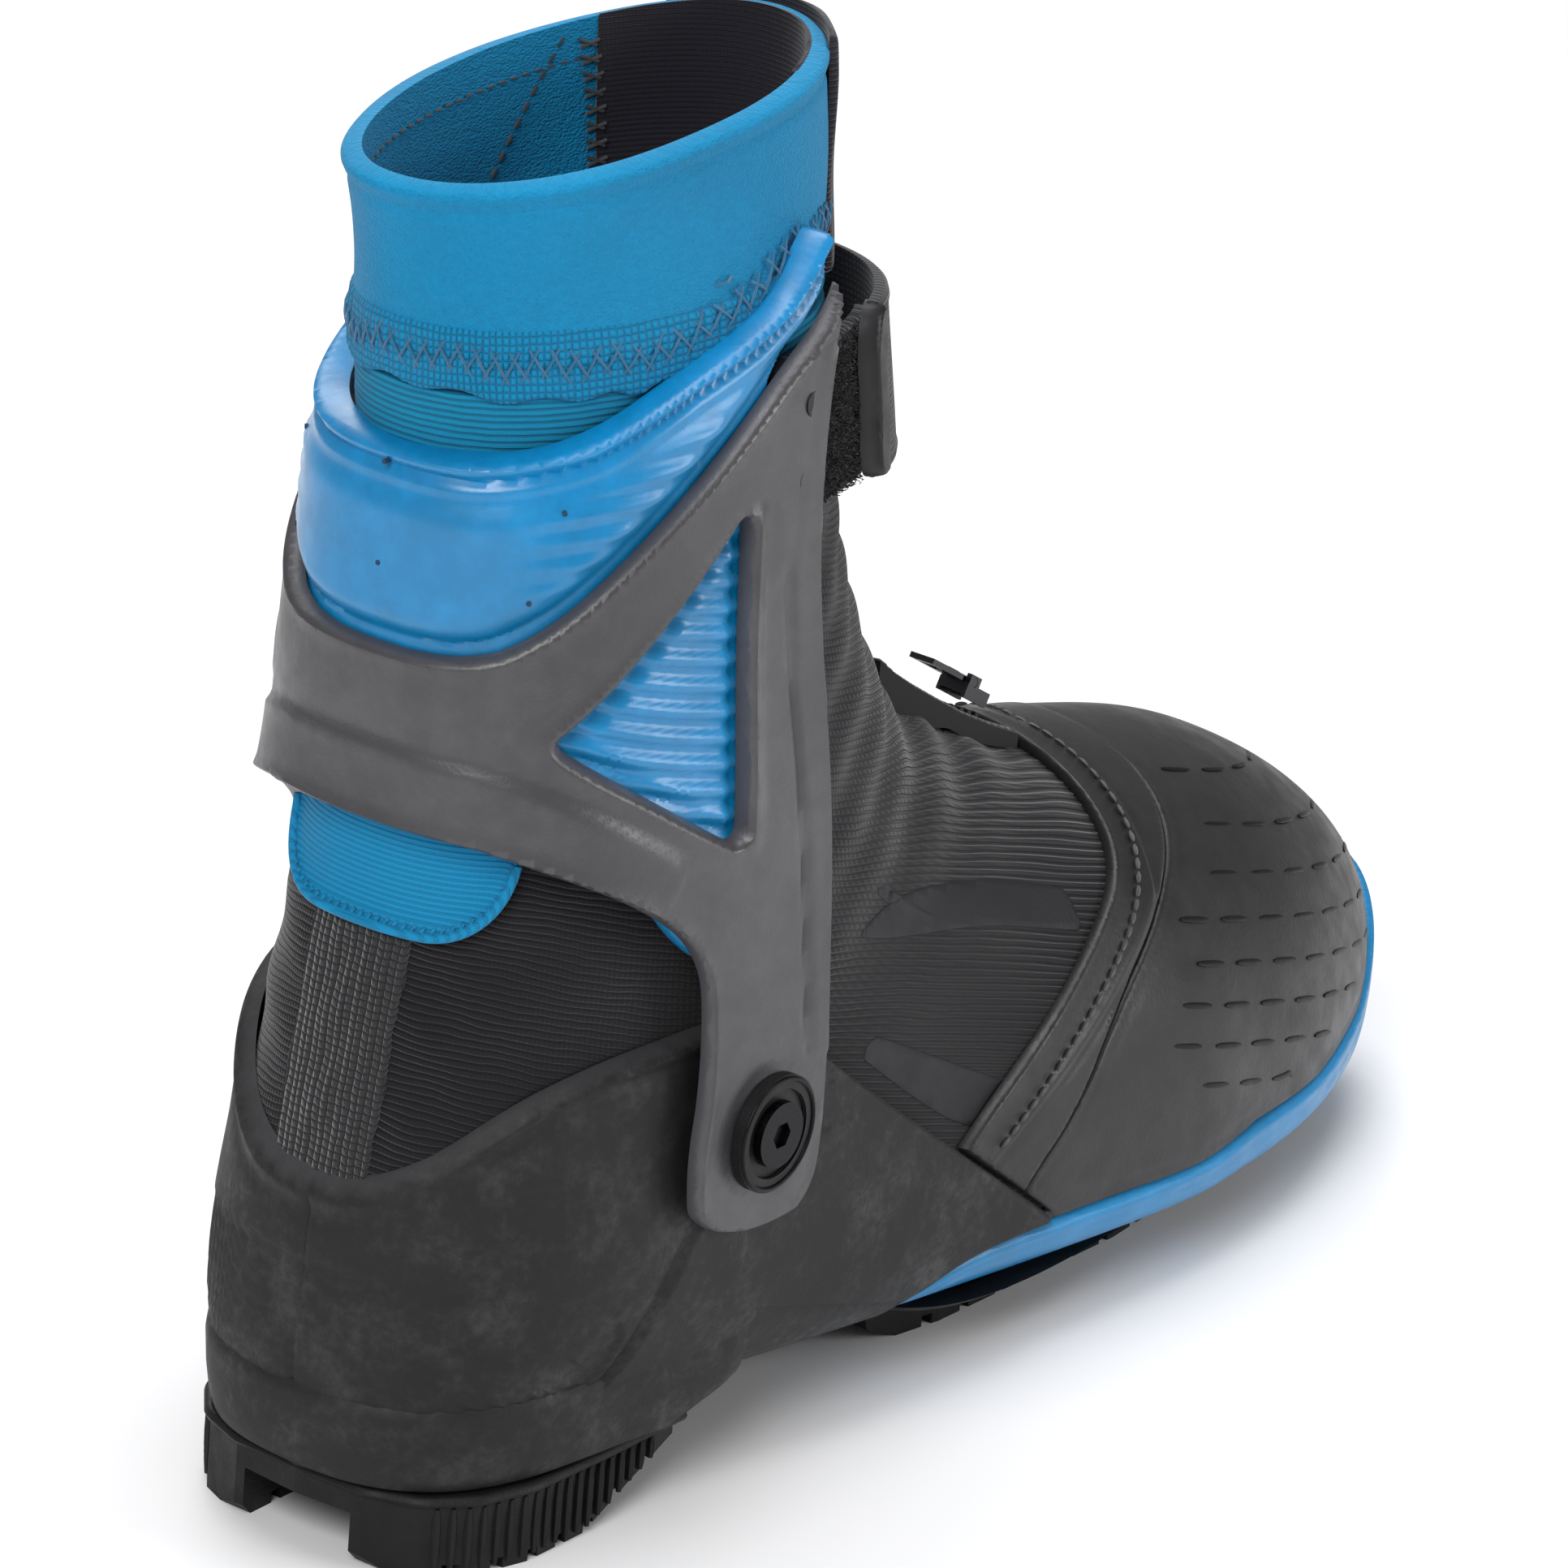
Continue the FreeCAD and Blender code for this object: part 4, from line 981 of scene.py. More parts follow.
class BOOT_OT_lining(bpy.types.Operator):
    """Makes the lining, the tongue and heel cushions and dresses the parts inside"""
    bl_idname = "boot.lining"
    bl_label = "Lining"

    def execute(self, context):
        face = cloth("lining face", (.045, .045, .05), "Boot Jersey", .0002, Size=.0009)
        inner = under_line(COLLAR_LINES[0], 2.0)
        patch = foot_patch(inner, -.97, 14.4, pitch() * 2.2, 110)
        piece = patch.solid("lining", -2.3, -4.5, .8)
        finish_piece(piece, face, blend=("boot", "cuff", *ANKLE_BEND),
                     stands_for=("liner_foot", "ankle_flex_liner", "liner_shaft"))
        soft = cloth("cushion cloth", (.03, .03, .034), "Boot Grid Knit", .0003, Pitch=.0016, Wale=.0016)
        tongue_side = [(116, 96), (140, 123), (160, 118), (205, 96), (205, 74), (150, 80)]
        tongue = every(inside_outline(tongue_side, 5), lambda p: p[:, 1] + 18, lambda p: 24 - p[:, 1])

        def quilt(p, uv, edge):
            return -4.95 - 1.6 * np.clip(edge / 9, 0, 1) ** .5 + .35 * np.cos(p[:, 1] * .7)
        piece = foot_patch(tongue, 4, 11.5, pitch() * 1.4).solid("tongue_cushion", -4.95, quilt, 1.5)
        finish_piece(piece, soft, "boot", ("tongue",))
        heel = every(inside_outline([(14, 48), (45, 48), (57, 58), (40, 80), (28, 92), (14, 84)], 4),
                     lambda p: np.abs(p[:, 1]) - 9)

        def dome(p, uv, edge):
            return -4.95 - 1.75 * np.clip(edge / 9, 0, 1) ** .5
        piece = foot_patch(heel, 7.5, 12.2, pitch() * 1.3).solid("heel_cushions", -4.95, dome, 1.5)
        finish_piece(piece, soft, "boot", ("heel_pads",))
        dress_node("footbed", cloth("footbed cloth", (.05, .052, .06), "Boot Grid Knit", .0003))
        dress_node("insole_board", coated("pressed board", (.30, .22, .14), .8))
        dress_node("shank_plate", coated("woven shank", (.02, .02, .022), .3, .0016, .00012))
        dress_node("toe_puff", coated("toe stiffener", (.05, .05, .05), .7))
        return {"FINISHED"}


class BOOT_OT_collar(bpy.types.Operator):
    """Makes the neoprene collar, its knit hem, the ribbed band and the front panel"""
    bl_idname = "boot.collar"
    bl_label = "Sock collar"

    def execute(self, context):
        sock_cloth = cloth("collar neoprene", colours().collar, "Boot Jersey", .00022, low=.72, high=1.14,
                           rough=.78, sheen=.08, dust=False, Size=.00055)
        hem_cloth = cloth("collar hem knit", shaded(colours().collar, .92), "Boot Grid Knit", .00035,
                          low=.66, high=1.12, rough=.85, sheen=.08, dust=False, Pitch=.0013, Wale=.0012)
        band_cloth = cloth("rib band", colours().rib_band, "Boot Ribbed Cloth", .00012, low=.6, high=1.2,
                           rough=.8, sheen=.06, dust=False, Pitch=.0011, Loop=.0007, Sway=.0006)

        def slack(p, uv, edge):
            waves = swell(p, (.35, (.7, .5, .5), 52, .4), (.22, (-.4, .7, .8), 31, 2.0))
            return waves * ease(p[:, 2], 200, 212)

        def sock_outer(p, uv, edge):
            roll = .55 * peak(under_rim(p) - 1.6, 1.5)
            valley = -.45 * peak(under_rim(p) - 4.2, .8)
            return slack(p, uv, edge) + roll + valley + .1
        field = every(over_line(COLLAR_LINES[2], -3), under_rim)
        sock = foot_patch(field, 13.2, 16.6, pitch() * .8, 230).solid(
            "collar_sock", sock_outer, lambda p, uv, edge: slack(p, uv, edge) * .6 - 2.8, 1.35)
        finish_piece(sock, sock_cloth, "cuff", ("collar_sock",))

        hem_line = [(-12, 195.6), (20, 195.2), (42, 193.6), (62, 197), (78, 203), (130, 206)]

        def scallop(p):
            turn = np.arctan2(p[:, 1], p[:, 0] - 63)
            wave = .55 * np.sin(turn * 22) + .4 * np.sin(turn * 9 + 1)
            return over_line(hem_line)(p) + wave
        hem_field = every(scallop, under_line(COLLAR_LINES[2], 7.5))

        def hem_outer(p, uv, edge):
            puff = 1.0 - .5 * ease(scallop(p), 6, 12)
            return puff + .16 * np.cos(uv[:, 1] * CLOTH_ROUND * 2 * math.pi / 2.2) + slack(p, uv, edge)
        hem = foot_patch(hem_field, 12.6, 15.6, pitch() * .55, 300).solid(
            "collar_knit_hem", hem_outer, -.6, 1.3)
        finish_piece(hem, hem_cloth, "cuff", ("collar_knit_band",))

        thread = two_tone("hem thread", (.004, .075, .16), (.01, .13, .26), .7)
        count = 140
        turns = np.linspace(0, 2 * math.pi, count + 1)
        rows = np.linspace(12.4, 15.6, 90)
        parts = []
        for start, heights in ((-1, (3.2, 8.6)), (0, (8.6, 3.2))):
            for k in range(start, count + start, 2):
                ends = []
                for turn, up in zip((turns[k], turns[k + 2]), heights):
                    line = foot_skin(rows, np.full(90, turn), 1.15)
                    ends.append((np.interp(up, scallop(line), rows), turn))
                us, vs = np.linspace(*ends, 5).T
                path = foot_skin(us, vs, np.array([.7, 1.2, 1.35, 1.2, .7]))
                parts.append(tube(path, .24, 5))
        zigzag = join_parts("collar_hem_stitches", parts)
        finish_piece(zigzag, thread, "cuff")

        band_field = every(over_line(COLLAR_LINES[0], .2), under_line(COLLAR_LINES[1], 4.5))

        def band_outer(p, uv, edge):
            return .1 * np.cos(p[:, 2] * 2 * math.pi / 1.9) - .15 + .5 * slack(p, uv, edge)
        band = foot_patch(band_field, 11.4, 15.2, pitch() * .5, 220).solid("rib_band", band_outer, -2.8, .8)
        finish_piece(band, band_cloth, "cuff", ("bootie_band",))

        black = cloth("front panel cloth", (.012, .010, .016), "Boot Ribbed Cloth", .0002, low=.5, high=1.5,
                      Pitch=.0009, Loop=.0008)
        outline = [(99, 199), (97.5, 215), (99, 232), (98, 262), (140, 262), (140, 199)]

        def panel_outer(p, uv, edge):
            return 1.5 + .35 * np.sin(p[:, 2] * .19 + 1) + .25 * np.sin(p[:, 1] * .5 + p[:, 2] * .1)
        field = every(inside_outline(outline), lambda p: under_rim(p) + .9)
        piece = foot_patch(field, 13.0, 16.8, pitch() * .8, 260).solid(
            "collar_front_panel", panel_outer, .3, .8)
        finish_piece(piece, black, "cuff", ("collar_front_panel",))
        inner = every(inside_outline([(88, 170), (92, 200), (88, 222), (84, 262), (140, 262), (140, 170)]),
                      lambda p: under_rim(p) + .2)
        piece = foot_patch(inner, 11.6, 16.7, pitch(), 220).solid(
            "collar_inner_panel", -2.4, lambda p, uv, edge: -3.5 + .2 * np.sin(p[:, 2] * .3), .5)
        finish_piece(piece, black, "cuff")

        dark = two_tone("black thread", (.006, .006, .008), (.03, .03, .035), .65)
        parts = []
        for side in (-1, 1):
            seam = side_line(foot_skin, [(80, 233.2), (72, 221), (64.5, 208.5), (58, 198)], side, -3.0)
            parts += stitch_row(seam, 2.0, .9, .32)
            for k, (x, z) in enumerate(resample([(85, 232.4), (88, 222), (92, 200)], 1.5)):
                a = on_surface(foot_skin, x - 1.8, z, side, -3.3)[0][0]
                b = on_surface(foot_skin, x + 1.8, z + (1.2 if k % 2 else -1.2), side, -3.7)[0][0]
                parts.append(tube([a, (a + b) / 2, b], .3, 5))
        turns = np.linspace(.55, 2 * math.pi - .55, 120)
        hem_line = foot_skin(np.full(120, 15.52), turns, -2.95)
        parts += stitch_row(hem_line, 1.7, 1.0, .26)
        finish_piece(join_parts("collar_inner_stitches", parts), dark, "cuff")
        return {"FINISHED"}


class BOOT_OT_heel(bpy.types.Operator):
    """Makes the knit heel strip and the ribbed pull tab with its overlock edge"""
    bl_idname = "boot.heel"
    bl_label = "Heel strip and tab"

    def execute(self, context):
        knit = cloth("heel strip knit", (.016, .016, .0175), "Boot Grid Knit", .0005, low=.25, high=1.9,
                     Pitch=.00125, Wale=.0013)

        def strip_lay(p, uv):
            return np.column_stack([p[:, 2], p[:, 1]])

        def strip_field(p):
            half = 9.4 + .22 * np.sin(p[:, 2] * .33) + .13 * np.sin(p[:, 2] * 1.1)
            return np.min([half - np.abs(p[:, 1] - .4), p[:, 2] - 55, 110 - p[:, 2], 50 - p[:, 0]], axis=0)

        def strip_outer(p, uv, edge):
            pucker = .35 * np.sin(p[:, 2] * .42 + 2 * np.sin(p[:, 1] * .2)) * peak(p[:, 1] - 2, 3)
            return 1.05 + pucker + .12 * np.sin(p[:, 1] * 2.1)
        piece = foot_patch(strip_field, 9.0, 12.2, pitch() * .6, 420).solid(
            "heel_strip_knit", strip_outer, -.3, .5, strip_lay)
        finish_piece(piece, knit, blend=("boot", "cuff", *ANKLE_BEND),
                     stands_for=("heel_strip",))

        rib = cloth("tab rib", shaded(colours().collar, .92), "Boot Ribbed Cloth", .00012, low=.8, high=1.1,
                    rough=.7, sheen=.1, dust=False, Pitch=.0009, Loop=.0009)

        def around(p):
            return np.sign(p[:, 1]) * (np.abs(p[:, 1]) * .8 + (p[:, 0] - 14) * .75)

        def tab_field(p):
            q = np.stack([np.abs(around(p) + 1.5) - 10.5, np.abs(p[:, 2] - 128) - 4.5], 1)
            far = np.hypot(*np.maximum(q, 0).T) + np.minimum(q.max(1), 0)
            return np.minimum(16 - far, 60 - p[:, 0])
        piece = foot_patch(tab_field, 9.6, 13.4, pitch() * .6, 420).solid(
            "heel_tab_rib", lambda p, uv, edge: 2.1 + .5 * peak(edge - 1.4, 1.1), -.2, 1.1)
        finish_piece(piece, rib, blend=("boot", "cuff", *ANKLE_BEND),
                     stands_for=("heel_tab",))
        fine_turns = even_turns(foot_skin, 10.8, 1600)
        rim = []
        for turn in fine_turns:
            us = np.linspace(9.6, 12.0, 80)
            line = foot_skin(us, np.full(80, turn), 0.0)
            level = tab_field(line)
            if line[:, 0].min() < 60 and level.max() > 1.2 and level[0] < 1.2:
                k = int(np.argmax(level > 1.2))
                at = np.interp(1.2, [level[k - 1], level[k]], [us[k - 1], us[k]])
                rim.append((at, turn))
        rim = np.array(sorted(rim, key=lambda r: r[1]))
        path = foot_skin(rim[:, 0], rim[:, 1], 2.75)
        path = path[np.argsort(np.arctan2(path[:, 1], 60 - path[:, 0]))]
        path = resample(path, .8)
        loops = []
        down = np.array([0, 0, 1.0])
        for k in range(2, len(path) - 2, 2):
            ahead = path[k + 1] - path[k - 1]
            ahead /= np.linalg.norm(ahead)
            out = np.cross(ahead, down)
            out *= np.sign(out @ (path[k] - np.array([60, 0, 110])))
            low, high = path[k] - down * 1.1 + ahead * .5, path[k] + down * 1.2 - ahead * .5
            loops.append(tube([low - out * .5, (low + high) / 2 + out * .1, high - out * .35], .34, 6))
        loops.append(tube(path - down * .35, .85, 10))
        finish_piece(join_parts("heel_tab_overlock", loops), rib,
                     blend=("boot", "cuff", *ANKLE_BEND))
        return {"FINISHED"}


def heel_wall():
    """The upright wall and the base under the heel cup, drawn as rings down to the rubber."""
    u, phi = np.meshgrid(np.linspace(6.6, 10.4, 260), np.linspace(.5 * math.pi, 1.5 * math.pi, 500))
    cloud = foot_skin(u.ravel(), phi.ravel(), 2.75)
    level = cloud[(np.abs(cloud[:, 2] - WALL_TOP) < .35) & (cloud[:, 0] < 80)]
    turn = np.arctan2(level[:, 1], WALL_MIDDLE - level[:, 0])
    order = np.argsort(turn)
    reach = np.hypot(level[:, 1], WALL_MIDDLE - level[:, 0])[order]
    turns = np.linspace(-2.28, 2.28, 180)
    radius = np.interp(turns, turn[order], reach)
    radius = np.convolve(np.pad(radius, 3, "edge"), np.ones(7) / 7, "valid")
    profile = ((-.04, .6), (.04, -.32), (.15, -.5), (.5, -.15), (.8, .5), (.95, 1.2), (1, 2.2), (1, 9))
    rings = []
    for share, drawn_in in profile:
        x = WALL_MIDDLE - (radius - drawn_in) * np.cos(turns)
        y = (radius - drawn_in) * np.sin(turns)
        low = np.interp(x, (60, 74), (SEAT_Z, SEAT_Z + 5))
        rings.append(np.stack([x, y, WALL_TOP + (low - WALL_TOP) * share], 1))
    count = len(turns)
    faces = [(r * count + k, r * count + k + 1, (r + 1) * count + k + 1, (r + 1) * count + k)
             for r in range(len(rings) - 1) for k in range(count - 1)]
    points = np.concatenate(rings)
    lay = np.column_stack([points[:, 2], points[:, 1], np.full(len(points), 9.0)])
    return make_object("chassis_heel_wall", points, faces, lay)


class BOOT_OT_chassis(bpy.types.Operator):
    """Makes the heel chassis with its rolled lip, parting lines and twill panels"""
    bl_idname = "boot.chassis"
    bl_label = "Heel chassis"

    def execute(self, context):
        base = tuple(colours().chassis)
        plastic = moulded("chassis plastic", base, shaded(base, 5.2)[:3], .012, (.34, .62), .35,
                          (.42, .82), specular=.34)
        outline = inside_outline(CHASSIS, .8)
        twill = inside_outline(TWILL_ZONE, 2.0)
        field = every(outline, lambda p: 120.5 - p[:, 0] + 60 * (p[:, 2] > 12))

        def outer(p, uv, edge):
            lip = .75 * peak(edge - 1.3, .9) * (p[:, 2] > 30) * (p[:, 0] < 92)
            under = -.35 * peak(edge - 3.6, 1.0) * (p[:, 2] > 30) * (p[:, 0] < 92)
            panel = -.55 * ease(twill(p), -.3, .5)
            slope = p[:, 2] * .77 + (p[:, 0] - np.abs(p[:, 1]) * .35) * .64
            ribs = .22 * np.cos(slope * 2 * math.pi / 1.75) * ease(twill(p), .6, 1.2)
            seam = -.5 * peak(p[:, 1], .32) * (p[:, 0] < 30)
            ridge_at = to_line(p, (60, 58), (32, 9))
            ahead = (p[:, 0] - 60) * .868 - (p[:, 2] - 58) * .496
            ridge = .8 * ease(ahead, -.7, .5) * (p[:, 2] < 60)
            ridge = ridge * np.clip(1 - ease(ahead, 14, 40), 0, 1) - .45 * peak(ahead + 1.2, .8) * (
                ridge_at < 6)
            fine = -.3 * peak(to_line(p, (51, 41.5), (119, 20.8)), .35)
            hollow = -.7 * np.exp(-((p[:, 0] - 40) / 16) ** 2 - ((p[:, 2] - 68) / 9) ** 2)
            return 3.05 + lip + under + panel + ribs + seam + ridge + fine + hollow
        patch = foot_patch(field, 6.4, 11.7, pitch() * .72, 420)
        piece = patch.solid("chassis_shell", outer, .4, 1.3)
        finish_piece(piece, plastic, "boot", ("heel_chassis",))
        finish_piece(heel_wall(), plastic, "boot")
        return {"FINISHED"}


class BOOT_OT_toe(bpy.types.Operator):
    """Makes the toe cap, its dashes, the overlay band with stitching and the rand"""
    bl_idname = "boot.toe"
    bl_label = "Toe cap and rand"

    def execute(self, context):
        black = coated("toe cap coating", tuple(colours().toe), .42, .0008, .00005, lift=1.5)
        gloss = coated("dash print", (.002, .002, .0022), .42, .0008, .00002, lift=1.3, specular=.2)
        above = over_line(RAND_TOP, .35)
        wing = without(inside_outline([(x, z + .6) for x, z in CHASSIS], .8))
        cap_zone = [(x + .35, z) for x, z in BAND_FRONT[::-1]]
        cap_zone += [(219, 120), (330, 120), (330, 0), (136, 0)]
        field = every(inside_outline(cap_zone), above, wing)

        def cap_outer(p, uv, edge):
            seam = -.3 * peak(edge - 2.2, .5)
            return 1.75 + seam + swell(p, (.12, (.5, .6, .6), 41, 0), (.08, (.7, -.5, .3), 27, 1))
        patch = foot_patch(field, -.995, 7.6, pitch() * .95, 210)
        piece = patch.solid("toe_cap_shell", cap_outer, .3, .9, sloped_lay)
        finish_piece(piece, black, "boot", ("toe_cap",))

        parts = []
        us = np.linspace(.05, 6.2, 240)
        dash = sizes().dash_length / MM
        for side in (1, -1):
            turns = np.linspace(.0, 1.75, 140) * side
            grid_u, grid_v = np.meshgrid(us, turns, indexing="ij")
            cloud = foot_skin(grid_u.ravel(), grid_v.ravel(), 0.0)
            level = (cloud[:, 2] + .28 * cloud[:, 0]).reshape(grid_u.shape)
            for row in range(24):
                height = 92 + row * sizes().dash_rows / MM
                track = []
                for k in range(len(us)):
                    falls = np.flatnonzero((level[k, :-1] >= height) & (level[k, 1:] < height))
                    if len(falls):
                        j = falls[0]
                        share = (level[k, j] - height) / (level[k, j] - level[k, j + 1])
                        track.append((us[k], turns[j] + share * (turns[j + 1] - turns[j])))
                if len(track) < 8:
                    continue
                track = np.array(track)
                line = foot_skin(track[:, 0], track[:, 1], 0.0)
                run = np.concatenate([[0], np.cumsum(np.linalg.norm(np.diff(line, axis=0), axis=1))])
                at = 3.0 + (row % 2) * 6.7
                while at + dash < run[-1]:
                    spots = np.linspace(at, at + dash, 7)
                    u, v = np.interp(spots, run, track[:, 0]), np.interp(spots, run, track[:, 1])
                    here = foot_skin(u, v, 0.0)
                    if min(f(here).min() for f in (inside_outline(cap_zone), above, wing)) > 3.0:
                        width = .56 * np.array([.45, .9, 1, 1, 1, .9, .45])
                        normal = foot_skin(u, v, 1.0) - here
                        path = foot_skin(u, v, 1.86)
                        parts.append(tube(path, width, 8, squash=.3, up=normal))
                    at += dash + 4.8
        finish_piece(join_parts("toe_cap_dashes", parts), gloss, "boot")

        band = every(inside_outline(BAND_REAR + BAND_FRONT), above, wing)

        def band_outer(p, uv, edge):
            rear = to_polyline(p, BAND_REAR)
            bead = .55 * peak(rear - 7.6, .8) - .3 * peak(rear - 9.4, .7)
            return 2.15 + bead + .3 * peak(edge - 1.2, .9) * (rear < 6)
        patch = foot_patch(band, 3.4, 8.4, pitch() * .7, 300)
        piece = patch.solid("toe_band_overlay", band_outer, .3, .8, sloped_lay)
        finish_piece(piece, black, "boot", ("toe_cap_band",))

        thread = two_tone("band thread", (.012, .012, .013), (.05, .05, .052), .5, sheen=.2)
        parts = []
        middle = [(138, 42.5), (156, 52.5), (171, 61.5), (186, 70.0), (196, 77.2), (201, 84), (202, 93)]
        for side in (-1, 1):
            line = side_line(foot_skin, middle, side, 2.75, 1.0)
            parts += stitch_row(line, 2.3, .7, .42)
        finish_piece(join_parts("toe_band_stitches", parts), thread, "boot")

        rubber = coated("rand rubber", tuple(colours().rand), .36, .0007, .00004, wear_and_highlight=.12, lift=1.16,
                        coat=.12)
        rand = inside_outline(RAND_TOP + RAND_LOW, 1.0)

        def rand_outer(p, uv, edge):
            crease = -.25 * peak(edge - 2.6, .5)
            return 2.5 + crease + .35 * ease(p[:, 0], 255, 285)
        patch = foot_patch(rand, -.995, 8.4, pitch() * .7, 380)
        piece = patch.solid("toe_rand_rubber", rand_outer, .3, 1.1)
        finish_piece(piece, rubber, "boot", ("toe_rand",))
        return {"FINISHED"}


def to_polyline(p, line):
    return np.min([to_line(p, a, b) for a, b in zip(line, line[1:])], axis=0)


class BOOT_OT_cuff(bpy.types.Operator):
    """Makes the cuff shell with its windows, arms, grooves and raised step"""
    bl_idname = "boot.cuff"
    bl_label = "Cuff shell"

    def execute(self, context):
        base = tuple(colours().cuff)
        plastic = moulded("cuff plastic", base, shaded(base, 2.1)[:3], .03, (.3, .46), .4, (.3, .8),
                          specular=.75)
        outline = inside_outline(CUFF_SIDE, 1.0)
        field = every(outline, without(inside_outline(WINDOW, 1.0)), round_hole(*PIVOT, 6.05))
        step = inside_outline(STEP_ZONE, 2.0)

        def outer(p, uv, edge):
            raised = .8 * ease(step(p), -.5, .9)
            lip = .75 * peak(to_line(p, (61.8, 120), (63.6, 172)) - .4, 1.5)
            groove = -.75 * peak(to_line(p, (76.9, 80), (71.5, 161)), .55)
            flange = .35 * ease(p[:, 0] - np.interp(p[:, 2], (80, 161, 190), (77.8, 72.4, 76)), 0, 1.4) * (
                p[:, 2] > 78) * (p[:, 2] < 195)
            ring = -.35 * peak(np.hypot(p[:, 0] - PIVOT[0], p[:, 2] - PIVOT[1]) - 11.2, .7)
            seam = -.3 * peak(p[:, 1], .28) * (p[:, 0] < 40)
            flow = swell(p, (.16, (.3, .5, .8), 47, 1), (.1, (.8, -.3, .2), 29, 2))
            roll = .3 * peak(edge - 1.2, 1.0)
            return raised + lip + groove + flange + ring + seam + flow + roll - .15
        patch = cuff_patch(field, 49, 210, pitch() * .72)
        piece = patch.solid("cuff_moulding", outer, -3.0, 1.25)
        finish_piece(piece, plastic, "cuff", ("cuff_shell",))
        return {"FINISHED"}


class BOOT_OT_pad(bpy.types.Operator):
    """Makes the moulded pad with its double lip, soft corrugations and pin holes, drawn as dark plugs of
    painted shade
    """
    bl_idname = "boot.pad"
    bl_label = "Cuff pad"

    def execute(self, context):
        satin = coated("pad satin", tuple(colours().pad), .3, .0006, .00002, wear_and_highlight=.0, lift=1.22, coat=.4)
        bowl = inside_outline(CUFF_BOWL, 1.0)
        window = inside_outline(WINDOW, 1.0)
        rim = PAD_SIDE[:7]

        def outer(p, uv, edge):
            turn = np.abs(uv[:, 1])
            rim_gap = to_polyline(p, rim)
            crown = 2.3 * ease(bowl(p), .4, 5.5) * (.35 + .65 * ease(rim_gap, 3, 11))
            bulge = 1.1 * ease(window(p), .6, 4)
            lip = .95 * peak(rim_gap - 1.3, .95) - .6 * peak(rim_gap - 3.1, .6)
            lip += .45 * peak(rim_gap - 4.6, .9)
            line = -.6 * peak(bowl(p) - 1.9, .5)
            waves = np.cos((p[:, 2] - 3.0 * turn) * 2 * math.pi / 3.9)
            zone = ease(turn, .5, .95) * (1 - ease(turn, 1.3, 1.6)) * ease(rim_gap, 6, 10)
            zone = zone * ease(bowl(p), 2.0, 5)
            slots = np.cos((p[:, 2] + 13.0 * turn) * 2 * math.pi / 4.3)
            slot_zone = ease(window(p), -1.5, .8) * (p[:, 2] < 176)
            zone = zone * (1 - ease(window(p), -6, -2)) * (bowl(p) > 0)
            return (-3.3 + crown + bulge + lip + line * (bowl(p) > 0) + .34 * waves * zone
                    + .55 * slots * slot_zone)
        shown = [(x, z + 3.2 * (x < 42)) if z < 130 else (x, z) for x, z in PAD_SIDE]
        patch = cuff_patch(inside_outline(shown, 1.5), 97, 214, pitch() * .44)
        piece = patch.solid("cuff_pad_moulded", outer, -6.8, 1.4)
        finish_piece(piece, satin, "cuff", ("cuff_pad",))
        # Pin holes: dark blue plugs painted as the shade inside the holes.
        hole_shade = two_tone("pin hole shade", (.004, .02, .05), (.01, .05, .1), .8, sheen=.0)
        parts = []
        spots = [(183, 0), (166.5, 0), (178.7, .76), (164.3, .62), (178.7, -.76), (164.3, -.62)]
        for z, turn in spots:
            spot = cuff_skin(np.array([z, z]), np.array([turn, turn]), np.array([-2.2, -.88]))
            parts.append(tube(spot, .42, 10))
        finish_piece(join_parts("cuff_pad_pin_holes", parts), hole_shade, "cuff")
        return {"FINISHED"}


class BOOT_OT_sole(bpy.types.Operator):
    """Dresses the rubber soles and adds the heel's flange and lug ribs"""
    bl_idname = "boot.sole"
    bl_label = "Soles"

    def execute(self, context):
        rubber = coated("sole rubber", (.005, .005, .0055), .55, .0005, .00006, lift=1.7, specular=.25)
        for name in ("outsole_heel", "outsole_forefoot", "toe_bar_block"):
            dress_node(name, rubber)
        dress_node("toe_bar", metal("toe bar steel", (.62, .62, .64), .28))
        parts = []
        for side in (-1, 1):
            edge = resample([(x, side * y) for x, y in HEEL_EDGE[2:]], 2.6)
            for x, y in edge[1:-1]:
                low = np.interp(x, (8, 44, 66), (1.2, 1.2, 10.8))
                if SEAT_Z - 3 - low > 3:
                    points = [(x, y, z) for z in np.linspace(low, SEAT_Z - 2.4, 5)]
                    parts.append(tube(points, np.array([.5, .75, .8, .75, .4]), 6, up=(1, 0, 0)))
        rim = HEEL_EDGE[:0:-1] + [HEEL_EDGE[0]] + [(x, -y) for x, y in HEEL_EDGE[1:]]
        rim = resample([(x, y, SEAT_Z - 1.1) for x, y in rim], 1.5)
        parts.append(tube(rim, 1.15, 8, squash=.9))
        finish_piece(join_parts("heel_lug_ribs", parts), rubber, "boot")
        return {"FINISHED"}


